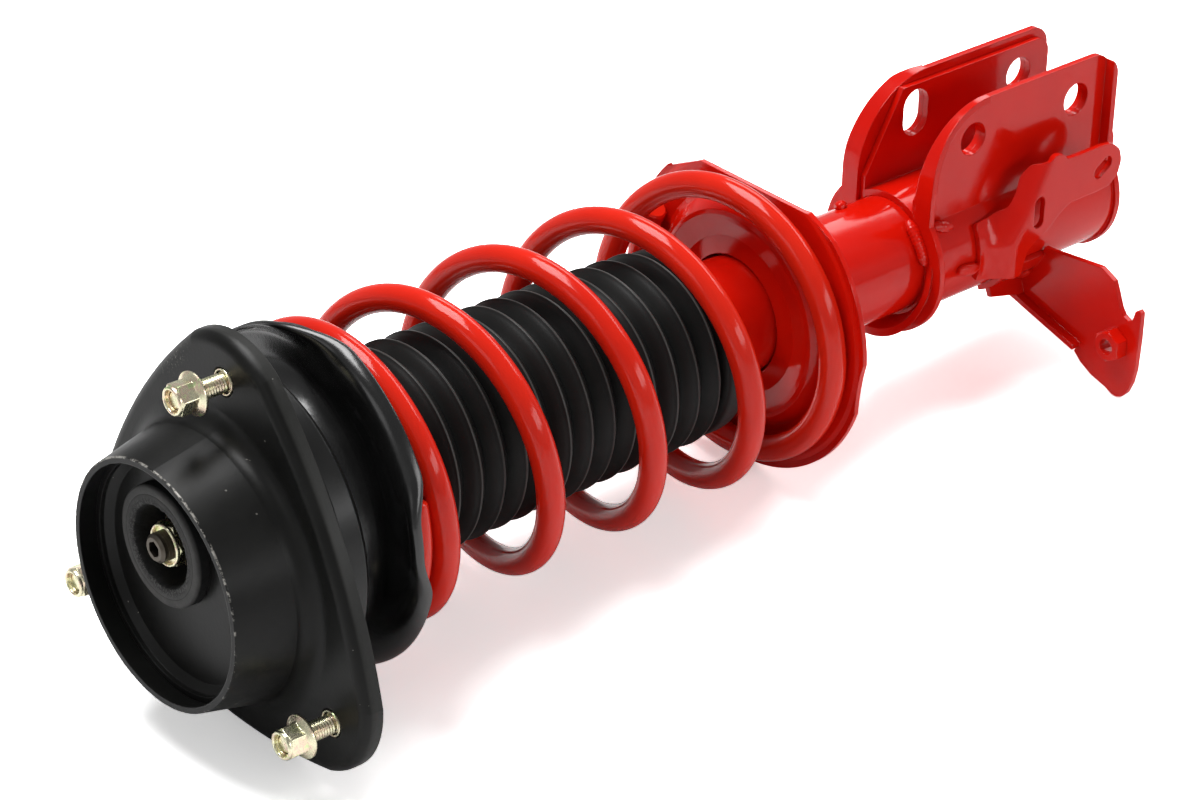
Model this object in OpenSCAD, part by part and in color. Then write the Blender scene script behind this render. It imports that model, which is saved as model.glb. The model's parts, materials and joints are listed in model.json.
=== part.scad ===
// Front suspension strut, lying on its mount flange and lower spring seat.
// Everything is drawn along the strut's own axis: z is the distance from the
// mount cup's rim towards the knuckle bracket, +x points at the bracket ears.
// lay() then puts the finished piece down on the ground plane.

/* [Spring] */
// Mean radius of the coils
spring_mean_r = 60; // [58:0.5:63]
// Diameter of the spring wire
wire_d = 11.6; // [10:0.2:12]
// Distance from one open coil to the next
coil_pitch = 54; // [46:1:56]
// Rise per turn of the closed upper end
end_pitch = 9.6; // [9.4:0.1:10.4]
// Turns of the closed upper end
upper_end_turns = 0.78; // [0.7:0.02:0.78]
// Turns over which the upper end opens
upper_ramp_turns = 0.4; // [0.34:0.02:0.42]
// Turns of open coil between the two ramps
open_turns = 3.5; // [3.2:0.1:3.6]
// Turns over which the lower end closes
lower_ramp_turns = 0.45; // [0.4:0.01:0.5]
// Turns that lie flat on the lower seat
lower_end_turns = 0.5; // [0.4:0.02:0.54]
// Distance of the wire's upper tip from the cup rim
spring_start_z = 85.5; // [85:0.1:87]
// Direction of the wire's upper tip, from the ears towards the brackets
spring_tip_angle = 73.6; // [60:0.4:90]

/* [Top mount] */
// Outer radius of the cup
cup_r = 51.7; // [50:0.5:56]
// Sheet thickness of the cup and flange
mount_t = 2.6; // [2:0.2:3.4]
// Depth from the cup rim to the flange face
flange_z = 32.7; // [30:0.5:36]
// Depth of the flange's folded edge
flange_fold = 8.4; // [6:0.2:11]
// Outer radius of the cup at its root
cup_root_r = 57; // [55:0.5:59]
// How far the cup's axis lies below the rod
cup_drop = 10.2; // [6:0.2:12]
// How far the cup's axis lies to the bracket side of the rod
cup_shift = 7.7; // [4:0.1:9]
// Radius of the circle through the three studs
stud_circle_r = 78.4; // [76:0.2:82]
// Thread diameter of the mount studs
stud_d = 8; // [6:1:10]
// Length of stud that stands out of the flange
stud_len = 22.3; // [20:0.1:30]
// Turn of the mount about the rod
mount_clock = 2.5; // [-10:0.5:15]
// Radius of the flange's corners about a stud
corner_r = 18; // [15:0.5:20]
// Distance from the cup's axis to the middle of a flange side
flange_side = 73.5; // [71:0.5:78]
// Radius of the lower shell
shell_r = 66.8; // [62:0.2:68]
// Distance of the lower shell's back face from the cup rim
shell_back_z = 55; // [52:0.5:57]
// How far the lower shell's axis lies to the bracket side of the rod
shell_shift = 5.5; // [2:0.5:7]
// Depth of the pan inside the cup
pan_z = 14; // [12:0.5:16]

/* [Mount rubber and bearing] */
// Outer radius of the rubber collar in the pan
collar_r = 25; // [23:0.5:27]
// Radius of the well in the rubber collar
well_r = 16.7; // [15:0.1:18]
// Distance of the rubber collar's face from the cup rim
collar_z = 8.5; // [7:0.5:10]
// Outer radius of the rubber block
block_r = 35.6; // [33:0.2:36]
// Outer radius of the bearing
bearing_r = 30; // [28:0.5:31]
// Radius of the ball circle
ball_circle_r = 18; // [17.5:0.5:19]
// Radius of a ball
ball_r = 4.5; // [4:0.1:4.8]
// Number of balls
balls = 10; // [7:1:11]

/* [Upper spring seat] */
// Room from the spring's outside to the upper seat's edge
upper_rim_room = 8.8; // [7:0.2:11]
// Sheet thickness of the spring seats
seat_t = 2.5; // [2:0.1:3.2]
// Distance of the upper seat's rim from the cup rim
upper_rim_z = 83.5; // [82.5:0.1:85]
// Thickness of the rubber pad at the wire's tip
pad_t = 1.5; // [1.2:0.1:2.4]

/* [Boot and bump stop] */
// Room from the boot's crests to the middle of the spring's wire
boot_room = 15; // [13.5:0.5:17]
// Depth of the boot's folds
rib_depth = 5.5; // [4:0.5:7]
// Number of ribs
ribs = 16; // [10:1:20]
// Wall thickness of the boot
boot_t = 1.6; // [1.2:0.1:2]
// Length of the ribbed stretch
ribbed_len = 186; // [170:1:190]
// Length of the smooth cuff
cuff_len = 12; // [9:1:14]
// Outer radius of the bump stop
bump_r = 22; // [18:0.5:24]
// Distance of the bump stop's free end from the cup rim
bump_end_z = 122; // [110:1:126]

/* [Damper] */
// Diameter of the strut tube
tube_d = 52; // [50:0.5:53]
// Wall thickness of the strut tube
tube_wall = 2.6; // [2:0.1:3.4]
// Distance of the tube's mouth from the cup rim
tube_top_z = 236; // [234:1:240]
// Distance of the tube's closed end from the cup rim
tube_end_z = 506; // [500:1:510]
// Diameter of the piston rod
rod_d = 20; // [18:0.5:22]
// Diameter of the rod's threaded end
spigot_d = 12; // [10:0.5:14]
// Distance of the rod's tip from the cup rim
rod_tip_z = 6; // [4:0.5:8]
// Outer radius of the inner cylinder
cylinder_r = 16.5; // [15.5:0.1:18]
// Wall thickness of the inner cylinder
cylinder_wall = 1.5; // [1.2:0.1:2]
// Length of the rod guide
guide_len = 22; // [18:1:26]
// Thickness of the rod seal
seal_t = 5; // [4:0.5:7]
// Distance of the piston's upper face from the cup rim
piston_z = 300; // [290:1:310]
// Thickness of the piston
piston_t = 18; // [14:1:22]

/* [Lower spring seat] */
// Room from the spring's outside to the lower seat's edge
lower_rim_room = 5.4; // [4.6:0.2:9]
// Distance of the straight side of the lower seat from the axis
seat_chord = 58.6; // [56:0.2:64]
// Radius of the ridge inside the coil
ridge_r = 44.5; // [43:0.5:46.5]
// Height of the ridge over the seat's floor
ridge_h = 7; // [5:0.5:9]

/* [Knuckle bracket] */
// Distance of the bracket's front edge from the cup rim
bracket_z = 395; // [391:1:398]
// Length of the bracket along the tube
bracket_len = 120.5; // [118:0.5:124]
// How much the ears' rear edges stand in front of the bracket's end
ear_setback = 3.3; // [2:0.1:4.5]
// Width left of the far ear's stiffening edge at its upper corner
corner_lip = 4.5; // [2:0.1:5]
// Thickness of the bracket's outer shell
bracket_t = 3; // [2.5:0.1:4]
// Thickness of the liner
liner_t = 3; // [2.5:0.1:4]
// Clear width between the ears
ear_gap = 29; // [26:0.5:31]
// Height of the ears over the axis
ear_height = 71.6; // [70:0.2:76]
// Height of the knuckle bolts over the axis
bolt_height = 54; // [52:0.5:57]
// Distance of the upper knuckle bolt from the cup rim
upper_bolt_z = 426; // [424:0.5:430]
// Distance between the two knuckle bolts
bolt_spacing = 65; // [60:0.5:68]
// Diameter of the knuckle bolt holes
bolt_hole_d = 15.2; // [12:0.2:17]
// Length of the adjusting slot in the far ear
adjust_slot_len = 22; // [18:0.5:24]
// Width of the stiffening edge round the bracket
stiffener = 6.5; // [4:0.5:7.5]

/* [Line brackets] */
// Distance of the sensor bracket's plate from the axis
sensor_plate_y = 38; // [35:0.5:44]
// Sheet thickness of the line brackets
line_t = 2.6; // [2:0.1:3]
// Distance of the hose bracket's plate from the cup rim
hose_plate_z = 469; // [464:1:474]
// Reach of the hose bracket from the axis
hose_reach = 87.4; // [82:0.2:91]
// Thread diameter of the hose bracket's weld nut
hose_nut_d = 8; // [6:1:10]

/* [Hidden] */
boot_r = spring_mean_r - boot_room;
$fn = 96;
fit_gap = 0.05;
seat_gap = 0.3;
over = 1;

// Spring: turns counted from the upper tip
open_at = upper_end_turns + upper_ramp_turns;
ramp2_at = open_at + open_turns;
closed_at = ramp2_at + lower_ramp_turns;
spring_turns = closed_at + lower_end_turns;
wire_r = wire_d / 2;
spring_sides = 8;
rings_per_turn = 24;
spring_rings = round(spring_turns * rings_per_turn);
rise_at1 = end_pitch * upper_end_turns;
rise_at2 = rise_at1 + upper_ramp_turns * (end_pitch + coil_pitch) / 2;
rise_at3 = rise_at2 + coil_pitch * open_turns;
spring_len = rise_at3 + coil_pitch * lower_ramp_turns / 2;

function spring_rise(t) =
    t < upper_end_turns ? end_pitch * t
    : t < open_at ? let (d = t - upper_end_turns)
        rise_at1 + end_pitch * d + (coil_pitch - end_pitch) * d * d / (2 * upper_ramp_turns)
    : t < ramp2_at ? rise_at2 + coil_pitch * (t - open_at)
    : t < closed_at ? let (d = t - ramp2_at)
        rise_at3 + coil_pitch * d - coil_pitch * d * d / (2 * lower_ramp_turns)
    : spring_len;
spring_end_z = spring_start_z + spring_len;
seat_floor_z = spring_end_z + wire_r + seat_gap;

// Mount
cup_x = -cup_drop;
cup_y = cup_shift;
// The corners are blunt: their arcs swing from well inside the studs
corner_mid = 0.745 * stud_circle_r;
corner_bend = stud_circle_r + corner_r - corner_mid;
side_shift = (corner_mid * corner_mid - pow(flange_side - corner_bend, 2))
    / (2 * (flange_side - corner_bend) - corner_mid);
side_r = flange_side + side_shift;
corner_turn = atan2(side_shift * sin(60), corner_mid + side_shift * cos(60));
flange_back_z = flange_z + mount_t;
fold_z = flange_z + flange_fold;
corner_ease = 2;
corner_at = corner_mid - corner_ease;
shoulder_r = 5;
root_r = 8;
stud_nut_h = 11.1;
nut_collar = 1.7;
stud_end_z = flange_z - stud_len;
nut_front_z = stud_end_z - nut_collar;
nut_back_z = nut_front_z + stud_nut_h;
stud_pitch_r = stud_d * 0.45;
knurl_r = stud_d / 2 + 0.6;
stud_nut_af = 12;
nut_flange_r = 8.9;
shell_y = shell_shift;

// Rod stack, from the tip inwards
rod_r = rod_d / 2;
spigot_r = spigot_d / 2;
rod_nut_z = rod_tip_z + 7;
rod_nut_h = 8;
rod_nut_af = 17;
washer_z = rod_nut_z + rod_nut_h;
washer_t = 3;
race_z = washer_z + washer_t;
race_len = 16;
bearing_mid_z = race_z + race_len / 2;
bearing_len = 12;
hub_z = race_z + race_len;
shoulder_z = hub_z + seat_t;
sleeve_r = ball_circle_r - ball_r + 1.2;
outer_race_inner_r = ball_circle_r + ball_r - 1.2;

// Seats, which take their width from the spring
upper_seat_r = spring_mean_r + wire_r + upper_rim_room;
lower_seat_r = spring_mean_r + wire_r + lower_rim_room;
pad_half = wire_r - 0.2;
seat_neck_r = 17;
crown_z = spring_start_z - wire_r - pad_t - 2 * seat_gap - seat_t;
crown_face_z = crown_z + seat_t;
seat_cone_z = hub_z + 20;

// Damper
tube_r = tube_d / 2;
tube_in_r = tube_r - tube_wall;
gland_t = 4;
seal_z = tube_top_z + 1;
guide_z = seal_z + seal_t;
cylinder_z = guide_z + guide_len - 6;
cylinder_in_r = cylinder_r - cylinder_wall;
rebound_z = guide_z + guide_len + seat_gap;
rebound_t = 8;
piston_nut_h = 9;
rod_end_z = piston_z + piston_t + piston_nut_h + 4;
valve_z = tube_end_z - 24;
cap_z = tube_end_z - 8;
boot_top_z = seat_cone_z + 2.15;
ribs_z = hub_z + 39;
cuff_z = ribs_z + ribbed_len;
boot_end_z = cuff_z + cuff_len;

// Bracket
bracket_end_z = bracket_z + bracket_len;
shell_in_r = tube_r + fit_gap;
shell_out_r = shell_in_r + bracket_t;
ear_in = ear_gap / 2 + liner_t;
ear_out = ear_in + bracket_t;
lower_bolt_z = upper_bolt_z + bolt_spacing;
front_corner_r = 40;
rear_corner_r = 10;
ear_rear_z = bracket_end_z - ear_setback;
ear_foot = shell_out_r - 5;
liner_height = ear_height - 4;
weld_gap = 0.1;
saddle_r = shell_out_r + weld_gap;

// How the strut lies: on the flange's side and on the rim of the lower seat
flange_low = cup_drop + flange_side
    + side_shift * (1 - cos(mount_clock));
lie_tilt = atan((flange_low - lower_seat_r) / (seat_floor_z + seat_t - fold_z));
lie_height = fold_z * sin(lie_tilt) + flange_low * cos(lie_tilt);
box_front = -(cup_drop + cup_r) * sin(lie_tilt);
box_back = bracket_end_z * cos(lie_tilt) + ear_foot * sin(lie_tilt);
box_near = cup_y + corner_mid * sin(mount_clock + 120) + corner_bend;
box_far = cup_y + corner_mid * sin(mount_clock - 120) - corner_bend;

// ---- placing and shared shapes ----

// Turns the upright strut on its side, tips it and stands it on z = 0
module lay() {
    translate([-(box_front + box_back) / 2, (box_near + box_far) / 2, lie_height])
        rotate([0, lie_tilt, 0])
            rotate([180, -90, 0])
                children();
}

// A solid ring between two radii
module tube_piece(outer, inner, from, to) {
    translate([0, 0, from])
        difference() {
            cylinder(r = outer, h = to - from);
            translate([0, 0, -over]) cylinder(r = inner, h = to - from + 2 * over);
        }
}

// A hexagonal bar with its corners turned off at the front end
module hex_bar(across, height) {
    corner = across / sqrt(3);
    intersection() {
        cylinder(r = corner, h = height, $fn = 6);
        rotate_extrude() polygon([
            [0, 0], [across / 2 * 0.98, 0], [corner, height * 0.14],
            [corner, height], [0, height]
        ]);
    }
}

// Everything of the mount that is centred on the cup
module on_cup() {
    translate([cup_x, cup_y, 0]) rotate([0, 0, mount_clock]) children();
}

// Three places on the stud circle
module at_studs() {
    on_cup() for (i = [0:2]) rotate([0, 0, 120 * i]) translate([stud_circle_r, 0, 0]) children();
}

// Triangles of a closed tube of n rings with m points each
function skin_faces(n, m, looped) = concat(
    [for (i = [0 : n - (looped ? 1 : 2)]) for (j = [0 : m - 1])
        each [[i * m + j, i * m + (j + 1) % m, ((i + 1) % n) * m + j],
              [i * m + (j + 1) % m, ((i + 1) % n) * m + (j + 1) % m, ((i + 1) % n) * m + j]]],
    looped ? [] : [for (j = [1 : m - 2]) [0, j + 1, j]],
    looped ? [] : [for (j = [1 : m - 2]) [(n - 1) * m, (n - 1) * m + j, (n - 1) * m + j + 1]]);

// A pressed ring: profile points are [radius, z, share of the rim's shape]
module pressed_ring(profile, angles) {
    points = [for (a = angles) for (p = profile) let (r = p[0] + p[2] * rim_draw(a))
        [r * cos(a), r * sin(a), p[1] + p[2] * rim_shape(a)]];
    polyhedron(points, skin_faces(len(angles), len(profile), true), convexity = 6);
}

function ease(t) = t * t * (3 - 2 * t);
function step_up(a, from, to) = a <= from ? 0 : a >= to ? 1 : ease((a - from) / (to - from));

// How far the upper seat's rim lies off its plane at each direction: a deep
// relief beside the ears and a shallow one where the wire's tip shows
function rim_shape(a) = -12.5 * step_up(a, -64, -42) * (1 - step_up(a, -8, 20))
    - 5.4 * step_up(a, 62, 78) * (1 - step_up(a, 88, 104));

// How far the rim draws in where it is relieved
function rim_draw(a) = -6.5 * step_up(a, -64, -42) * (1 - step_up(a, -34, 2));

// ---- top mount ----

// A disc whose front edge is rounded over
module flange_disc(radius, from, to, round) {
    translate([0, 0, from]) rotate_extrude($fn = 180) union() {
        translate([0, round]) square([radius, to - from - round]);
        square([radius - round, round + over / 10]);
        translate([radius - round, round]) circle(r = round, $fn = 40);
    }
}

// Takes the tip off a corner of the flange, down to the corner's own arc
module corner_cutter(inset, from, to, round) {
    reach = 3 * corner_bend;
    difference() {
        translate([corner_at, 0, from - over]) linear_extrude(to - from + 2 * over) polygon([
            [0, 0], [reach * cos(corner_turn), -reach * sin(corner_turn)],
            [reach * cos(corner_turn), reach * sin(corner_turn)]
        ]);
        translate([corner_at, 0, 0])
            flange_disc(corner_bend + corner_ease - inset, from, to + 3 * over, round);
    }
}

// Three wide arcs, each swung from beyond the stud opposite it
module side_arcs(inset, from, to, round) {
    intersection() {
        translate([side_shift, 0, 0]) flange_disc(side_r - inset, from, to, round);
        rotate([0, 0, 120]) translate([side_shift, 0, 0])
            flange_disc(side_r - inset, from, to, round);
        rotate([0, 0, 240]) translate([side_shift, 0, 0])
            flange_disc(side_r - inset, from, to, round);
    }
}

module flange_blank(inset, from, to, round) {
    difference() {
        side_arcs(inset, from, to, round);
        for (i = [0:2]) rotate([0, 0, 120 * i]) corner_cutter(inset, from, to, round);
    }
}

function cup_at(z) = cup_r + (cup_root_r - cup_r) * z / (flange_z - root_r);

module mount_plate() {
    root_z = flange_z - root_r;
    color("#1b1c1e") lay() difference() {
        on_cup() difference() {
            union() {
                difference() {
                    flange_blank(0, flange_z, fold_z, shoulder_r);
                    flange_blank(mount_t, flange_back_z, fold_z + over, shoulder_r - mount_t);
                }
                rotate_extrude() difference() {
                    polygon([
                        [cup_r - mount_t - 1, 0], [cup_r, 0], [cup_root_r, root_z],
                        [cup_root_r + root_r, root_z],
                        [cup_root_r + root_r, flange_z + mount_t / 2],
                        [cup_r - mount_t - 1, flange_z + mount_t / 2]
                    ]);
                    translate([cup_root_r + root_r, root_z]) circle(r = root_r);
                }
            }
            rotate_extrude() polygon([
                [0, -over], [cup_at(-over) - mount_t, -over], [cup_root_r - mount_t, root_z],
                [cup_root_r - mount_t, fold_z + over], [0, fold_z + over]
            ]);
        }
        at_studs() {
            cylinder(r = knurl_r + fit_gap, h = fold_z + over);
            translate([0, 0, flange_z - 0.6])
                cylinder(r1 = knurl_r + 2.2, r2 = knurl_r - 0.2, h = 2.4);
        }
    }
}

module mount_pan() {
    lip = 5;
    front_r = cup_at(pan_z - lip) - mount_t - fit_gap;
    back_r = cup_at(pan_z + mount_t) - mount_t - fit_gap;
    color("#202124") lay() difference() {
        on_cup() rotate_extrude() polygon([
            [0, pan_z], [front_r - mount_t - 3, pan_z], [front_r - mount_t, pan_z - 3],
            [front_r - mount_t, pan_z - lip], [front_r, pan_z - lip],
            [back_r, pan_z + mount_t], [0, pan_z + mount_t]
        ]);
        translate([0, 0, pan_z - over])
            cylinder(r = collar_r + fit_gap, h = mount_t + 2 * over);
    }
}

// Drum that closes the mount from behind
module mount_lower_shell() {
    foot_r = 50;
    step_z = fold_z + 0.5;
    bore_r = 31;
    floor_z = hub_z + 2;
    color("#1e1f21") lay() translate([0, shell_y, 0]) rotate_extrude() polygon([
        [foot_r - 4, flange_back_z], [foot_r, flange_back_z], [foot_r, step_z],
        [shell_r - 2, step_z], [shell_r, step_z + 2], [shell_r, shell_back_z - 3],
        [shell_r - 3, shell_back_z], [shell_r - 8, shell_back_z],
        [shell_r - 10, shell_back_z - 3], [shell_r - 10, floor_z + mount_t],
        [bore_r, floor_z + mount_t], [bore_r, floor_z], [foot_r - 4, floor_z]
    ]);
}

// Rubber block round the bearing
module mount_rubber() {
    neck_z = pan_z + mount_t + fit_gap;
    inner_z = bearing_mid_z - bearing_len / 2;
    inner_r = collar_r + fit_gap;
    color("#2b2b2d") lay() rotate_extrude() polygon([
        [inner_r, neck_z], [block_r - 2, neck_z],
        [block_r, neck_z + 2], [block_r, hub_z + 1], [block_r - 1, hub_z + 2],
        [bearing_r + 1, hub_z + 2], [bearing_r + fit_gap, hub_z + 1],
        [bearing_r + fit_gap, inner_z - fit_gap], [inner_r, inner_z - fit_gap]
    ]);
}

// Rubber collar that lines the rod nut's well
module rubber_collar() {
    inner_z = bearing_mid_z - bearing_len / 2;
    color("#333336") lay() rotate_extrude() polygon([
        [well_r, collar_z + 1], [well_r + 1, collar_z], [collar_r - 1, collar_z],
        [collar_r, collar_z + 1], [collar_r, inner_z - fit_gap],
        [well_r + 3, inner_z - fit_gap], [well_r, inner_z - 3]
    ]);
}

module race_groove() {
    translate([ball_circle_r, bearing_mid_z]) circle(r = ball_r + fit_gap);
}

module bearing_outer_race() {
    color("#b8babd") lay() rotate_extrude() difference() {
        translate([outer_race_inner_r, bearing_mid_z - bearing_len / 2])
            square([bearing_r - outer_race_inner_r, bearing_len]);
        race_groove();
    }
}

module bearing_balls() {
    color("#d0d2d4") lay() for (i = [0 : balls - 1])
        rotate([0, 0, 360 * i / balls]) translate([ball_circle_r, 0, bearing_mid_z])
            sphere(r = ball_r);
}

module bearing_inner_race() {
    color("#b8babd") lay() rotate_extrude() difference() {
        translate([spigot_r + fit_gap, race_z])
            square([sleeve_r - spigot_r - fit_gap, race_len]);
        race_groove();
    }
}

module mount_studs() {
    head_r = 7.5;
    head_t = 3;
    tip = 1;
    color("#8d8a63") lay() at_studs() rotate_extrude($fn = 48) polygon([
        [0, stud_end_z], [stud_pitch_r - tip, stud_end_z], [stud_pitch_r, stud_end_z + tip],
        [stud_pitch_r, nut_back_z], [stud_d / 2, nut_back_z + 0.15], [stud_d / 2, flange_z],
        [knurl_r, flange_z + 0.6], [knurl_r, flange_back_z],
        [head_r, flange_back_z], [head_r, flange_back_z + head_t], [0, flange_back_z + head_t]
    ]);
}

// Flange nuts, part-way on; each has a round collar in front of its hexagon
module flange_nuts() {
    skirt = 1.5;
    color("#cdbf7d") lay() at_studs() translate([0, 0, nut_front_z]) difference() {
        union() {
            cylinder(r = stud_nut_af / 2 - 0.1, h = nut_collar + 1);
            translate([0, 0, nut_collar - 0.4])
                hex_bar(stud_nut_af, stud_nut_h - nut_collar + 0.2);
            translate([0, 0, stud_nut_h - 2.2 * skirt])
                cylinder(r1 = stud_nut_af / 2, r2 = nut_flange_r, h = 1.2 * skirt);
            translate([0, 0, stud_nut_h - skirt]) cylinder(r = nut_flange_r, h = skirt);
        }
        translate([0, 0, -over]) cylinder(r = stud_pitch_r + fit_gap, h = stud_nut_h + 2 * over);
        translate([0, 0, -over]) cylinder(r = stud_d / 2 + 0.3, h = nut_collar - 0.2 + over);
    }
}

// ---- rod stack ----

module rod_nut() {
    color("#cdbf7d") lay() translate([0, 0, rod_nut_z]) difference() {
        hex_bar(rod_nut_af, rod_nut_h);
        translate([0, 0, -over]) cylinder(r = spigot_r + fit_gap, h = rod_nut_h + 2 * over);
    }
}

module rod_washer() {
    color("#a9a58c") lay() tube_piece(well_r - 3.5, spigot_r + fit_gap, washer_z, race_z);
}

module upper_spring_seat() {
    rings = 60;
    angles = [for (i = [0 : rings - 1]) 360 * i / rings - 64];
    edge_r = upper_seat_r - seat_t;
    land_r = spring_mean_r + pad_half;
    color("#17181a") lay() pressed_ring([
        [spigot_r + fit_gap, hub_z, 0], [seat_neck_r, hub_z, 0],
        [seat_neck_r + seat_t, hub_z + 6, 0], [spring_mean_r - 16, seat_cone_z, 0],
        [spring_mean_r - 10, crown_z - 5, 0], [spring_mean_r - 5, crown_z, 0],
        [land_r + 0.4, crown_z, 0],
        [upper_seat_r - 2.5, crown_z + 2.2, 0.7], [upper_seat_r, upper_rim_z - 3, 1],
        [upper_seat_r, upper_rim_z, 1], [edge_r, upper_rim_z, 1],
        [edge_r - 2, crown_face_z + 2, 0.6], [land_r, crown_face_z, 0],
        [spring_mean_r - 6, crown_face_z, 0], [spring_mean_r - 12, crown_face_z - 5.6, 0],
        [spring_mean_r - 18.4, seat_cone_z + 1.6, 0],
        [seat_neck_r, hub_z + 7, 0], [seat_neck_r - seat_t, shoulder_z, 0],
        [spigot_r + fit_gap, shoulder_z, 0]
    ], angles);
}

// Rubber pad between the flat seat and the rising end coil
module upper_spring_pad() {
    rings = 60;
    inner = spring_mean_r - pad_half;
    outer = spring_mean_r + pad_half;
    low = crown_face_z + seat_gap;
    drop_from = upper_end_turns + 0.03;
    points = [for (i = [0 : rings - 1])
        let (t = i / rings, a = spring_tip_angle + 360 * t,
             top = low + pad_t + end_pitch * (t < drop_from ? t
                 : drop_from * (1 - ease((t - drop_from) / (1 - drop_from)))))
        each [for (p = [[inner, low], [outer, low], [outer, top], [inner, top]])
            [p[0] * cos(a), p[0] * sin(a), p[1]]]];
    color("#222325") lay() polyhedron(points, skin_faces(rings, 4, true), convexity = 4);
}

module bump_stop() {
    foot_z = shoulder_z + 0.2;
    neck_r = seat_neck_r - 3;
    body_z = hub_z + 16;
    waists = 3;
    step = (bump_end_z - body_z - 6) / waists;
    color("#c9b06a") lay() rotate_extrude() difference() {
        union() {
            translate([rod_r + 0.4, foot_z]) square([neck_r - rod_r - 0.4, body_z - foot_z]);
            polygon([
                [rod_r + 0.4, body_z - 4], [neck_r, body_z - 4], [bump_r, body_z + 2],
                [bump_r, bump_end_z - 8], [bump_r - 6, bump_end_z], [rod_r + 0.4, bump_end_z]
            ]);
        }
        for (i = [1 : waists]) translate([bump_r + 1, body_z + step * i]) circle(r = 3.4);
    }
}

// Bellows with the same wall all along, open at both ends
module dust_boot() {
    step = ribbed_len / ribs;
    taper = 3;
    top_r = boot_r - 3.2;
    end_r = boot_r - taper - 1;
    crest = 1.2;
    outside = concat(
        [[top_r, boot_top_z], [top_r, boot_top_z + 8]],
        [for (i = [0 : ribs - 1])
            let (z = ribs_z + i * step, r = boot_r - taper * i / ribs)
            each [[r - rib_depth, z], [r, z + step / 2 - crest], [r, z + step / 2 + crest]]],
        [[end_r - rib_depth + 1, cuff_z], [end_r, cuff_z + 1.5], [end_r, boot_end_z]]);
    inside = [for (i = [len(outside) - 1 : -1 : 0]) outside[i] - [boot_t, 0]];
    color("#151515") lay() rotate_extrude() polygon(concat(outside, inside));
}

module piston_rod() {
    socket_af = 6;
    color("#c4c6c8") lay() difference() {
        rotate_extrude() polygon([
            [0, rod_tip_z], [spigot_r - 1.2, rod_tip_z], [spigot_r, rod_tip_z + 1.2],
            [spigot_r, shoulder_z], [rod_r - 0.6, shoulder_z], [rod_r, shoulder_z + 0.6],
            [rod_r, piston_z], [spigot_r, piston_z], [spigot_r, rod_end_z - 1],
            [spigot_r - 1, rod_end_z], [0, rod_end_z]
        ]);
        translate([0, 0, rod_tip_z - over])
            cylinder(r = socket_af / sqrt(3), h = 7 + over, $fn = 6);
    }
}

module rebound_stop() {
    color("#9fa2a4") lay()
        tube_piece(cylinder_in_r - 0.6, rod_r + fit_gap, rebound_z, rebound_z + rebound_t);
}

module piston() {
    groove = 6;
    ports = 8;
    body_r = cylinder_in_r - 0.4;
    color("#8f9294") lay() difference() {
        rotate_extrude() difference() {
            translate([spigot_r + fit_gap, piston_z])
                square([body_r - spigot_r - fit_gap, piston_t]);
            translate([body_r - 1.2, piston_z + (piston_t - groove) / 2]) square([3, groove]);
        }
        for (i = [0 : ports - 1]) rotate([0, 0, 360 * i / ports])
            translate([(spigot_r + body_r) / 2, 0, piston_z - over])
                cylinder(r = 1.3, h = piston_t + 2 * over, $fn = 24);
    }
}

module piston_ring() {
    width = 5.6;
    mid = piston_z + piston_t / 2;
    color("#3d4246") lay() tube_piece(cylinder_in_r - fit_gap, cylinder_in_r - 1.5,
        mid - width / 2, mid + width / 2);
}

module piston_nut() {
    color("#a9a58c") lay() translate([0, 0, piston_z + piston_t]) difference() {
        hex_bar(rod_nut_af, piston_nut_h);
        translate([0, 0, -over]) cylinder(r = spigot_r + fit_gap, h = piston_nut_h + 2 * over);
    }
}

// ---- damper body ----

module strut_tube() {
    color("#c41410") lay() tube_piece(tube_r, tube_in_r, tube_top_z, tube_end_z);
}

module tube_base_cap() {
    color("#a81411") lay() rotate_extrude() polygon([
        [0, cap_z + 2], [8, cap_z + 2], [tube_in_r - 3, cap_z],
        [tube_in_r - fit_gap, cap_z], [tube_in_r - fit_gap, tube_end_z - 1],
        [tube_in_r - 3, tube_end_z - 1], [8, tube_end_z - 3], [0, tube_end_z - 3]
    ]);
}

module inner_cylinder() {
    color("#9fa2a4") lay() tube_piece(cylinder_r, cylinder_in_r, cylinder_z, valve_z + 6);
}

module base_valve() {
    rim_r = tube_in_r - fit_gap;
    color("#8f9294") lay() difference() {
        rotate_extrude() polygon([
            [0, valve_z], [cylinder_in_r - fit_gap, valve_z],
            [cylinder_in_r - fit_gap, valve_z + 6], [cylinder_r, valve_z + 6],
            [rim_r - 2, valve_z + 8], [rim_r, valve_z + 10], [rim_r, cap_z - 1],
            [rim_r - 3, cap_z], [0, cap_z]
        ]);
        for (i = [0:3]) rotate([0, 0, 90 * i]) translate([8, 0, valve_z - over])
            cylinder(r = 1.5, h = 30, $fn = 24);
    }
}

module rod_guide() {
    end_z = guide_z + guide_len;
    color("#8f9294") lay() rotate_extrude() polygon([
        [rod_r + fit_gap, guide_z], [tube_in_r - fit_gap, guide_z],
        [tube_in_r - fit_gap, cylinder_z], [cylinder_in_r - fit_gap, cylinder_z],
        [cylinder_in_r - fit_gap, end_z], [rod_r + fit_gap, end_z]
    ]);
}

module rod_seal() {
    color("#222325") lay() rotate_extrude() polygon([
        [rod_r + fit_gap, seal_z], [rod_r + 3, seal_z + 1.5], [tube_in_r - fit_gap, seal_z + 1.5],
        [tube_in_r - fit_gap, guide_z], [rod_r + fit_gap, guide_z]
    ]);
}

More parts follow.
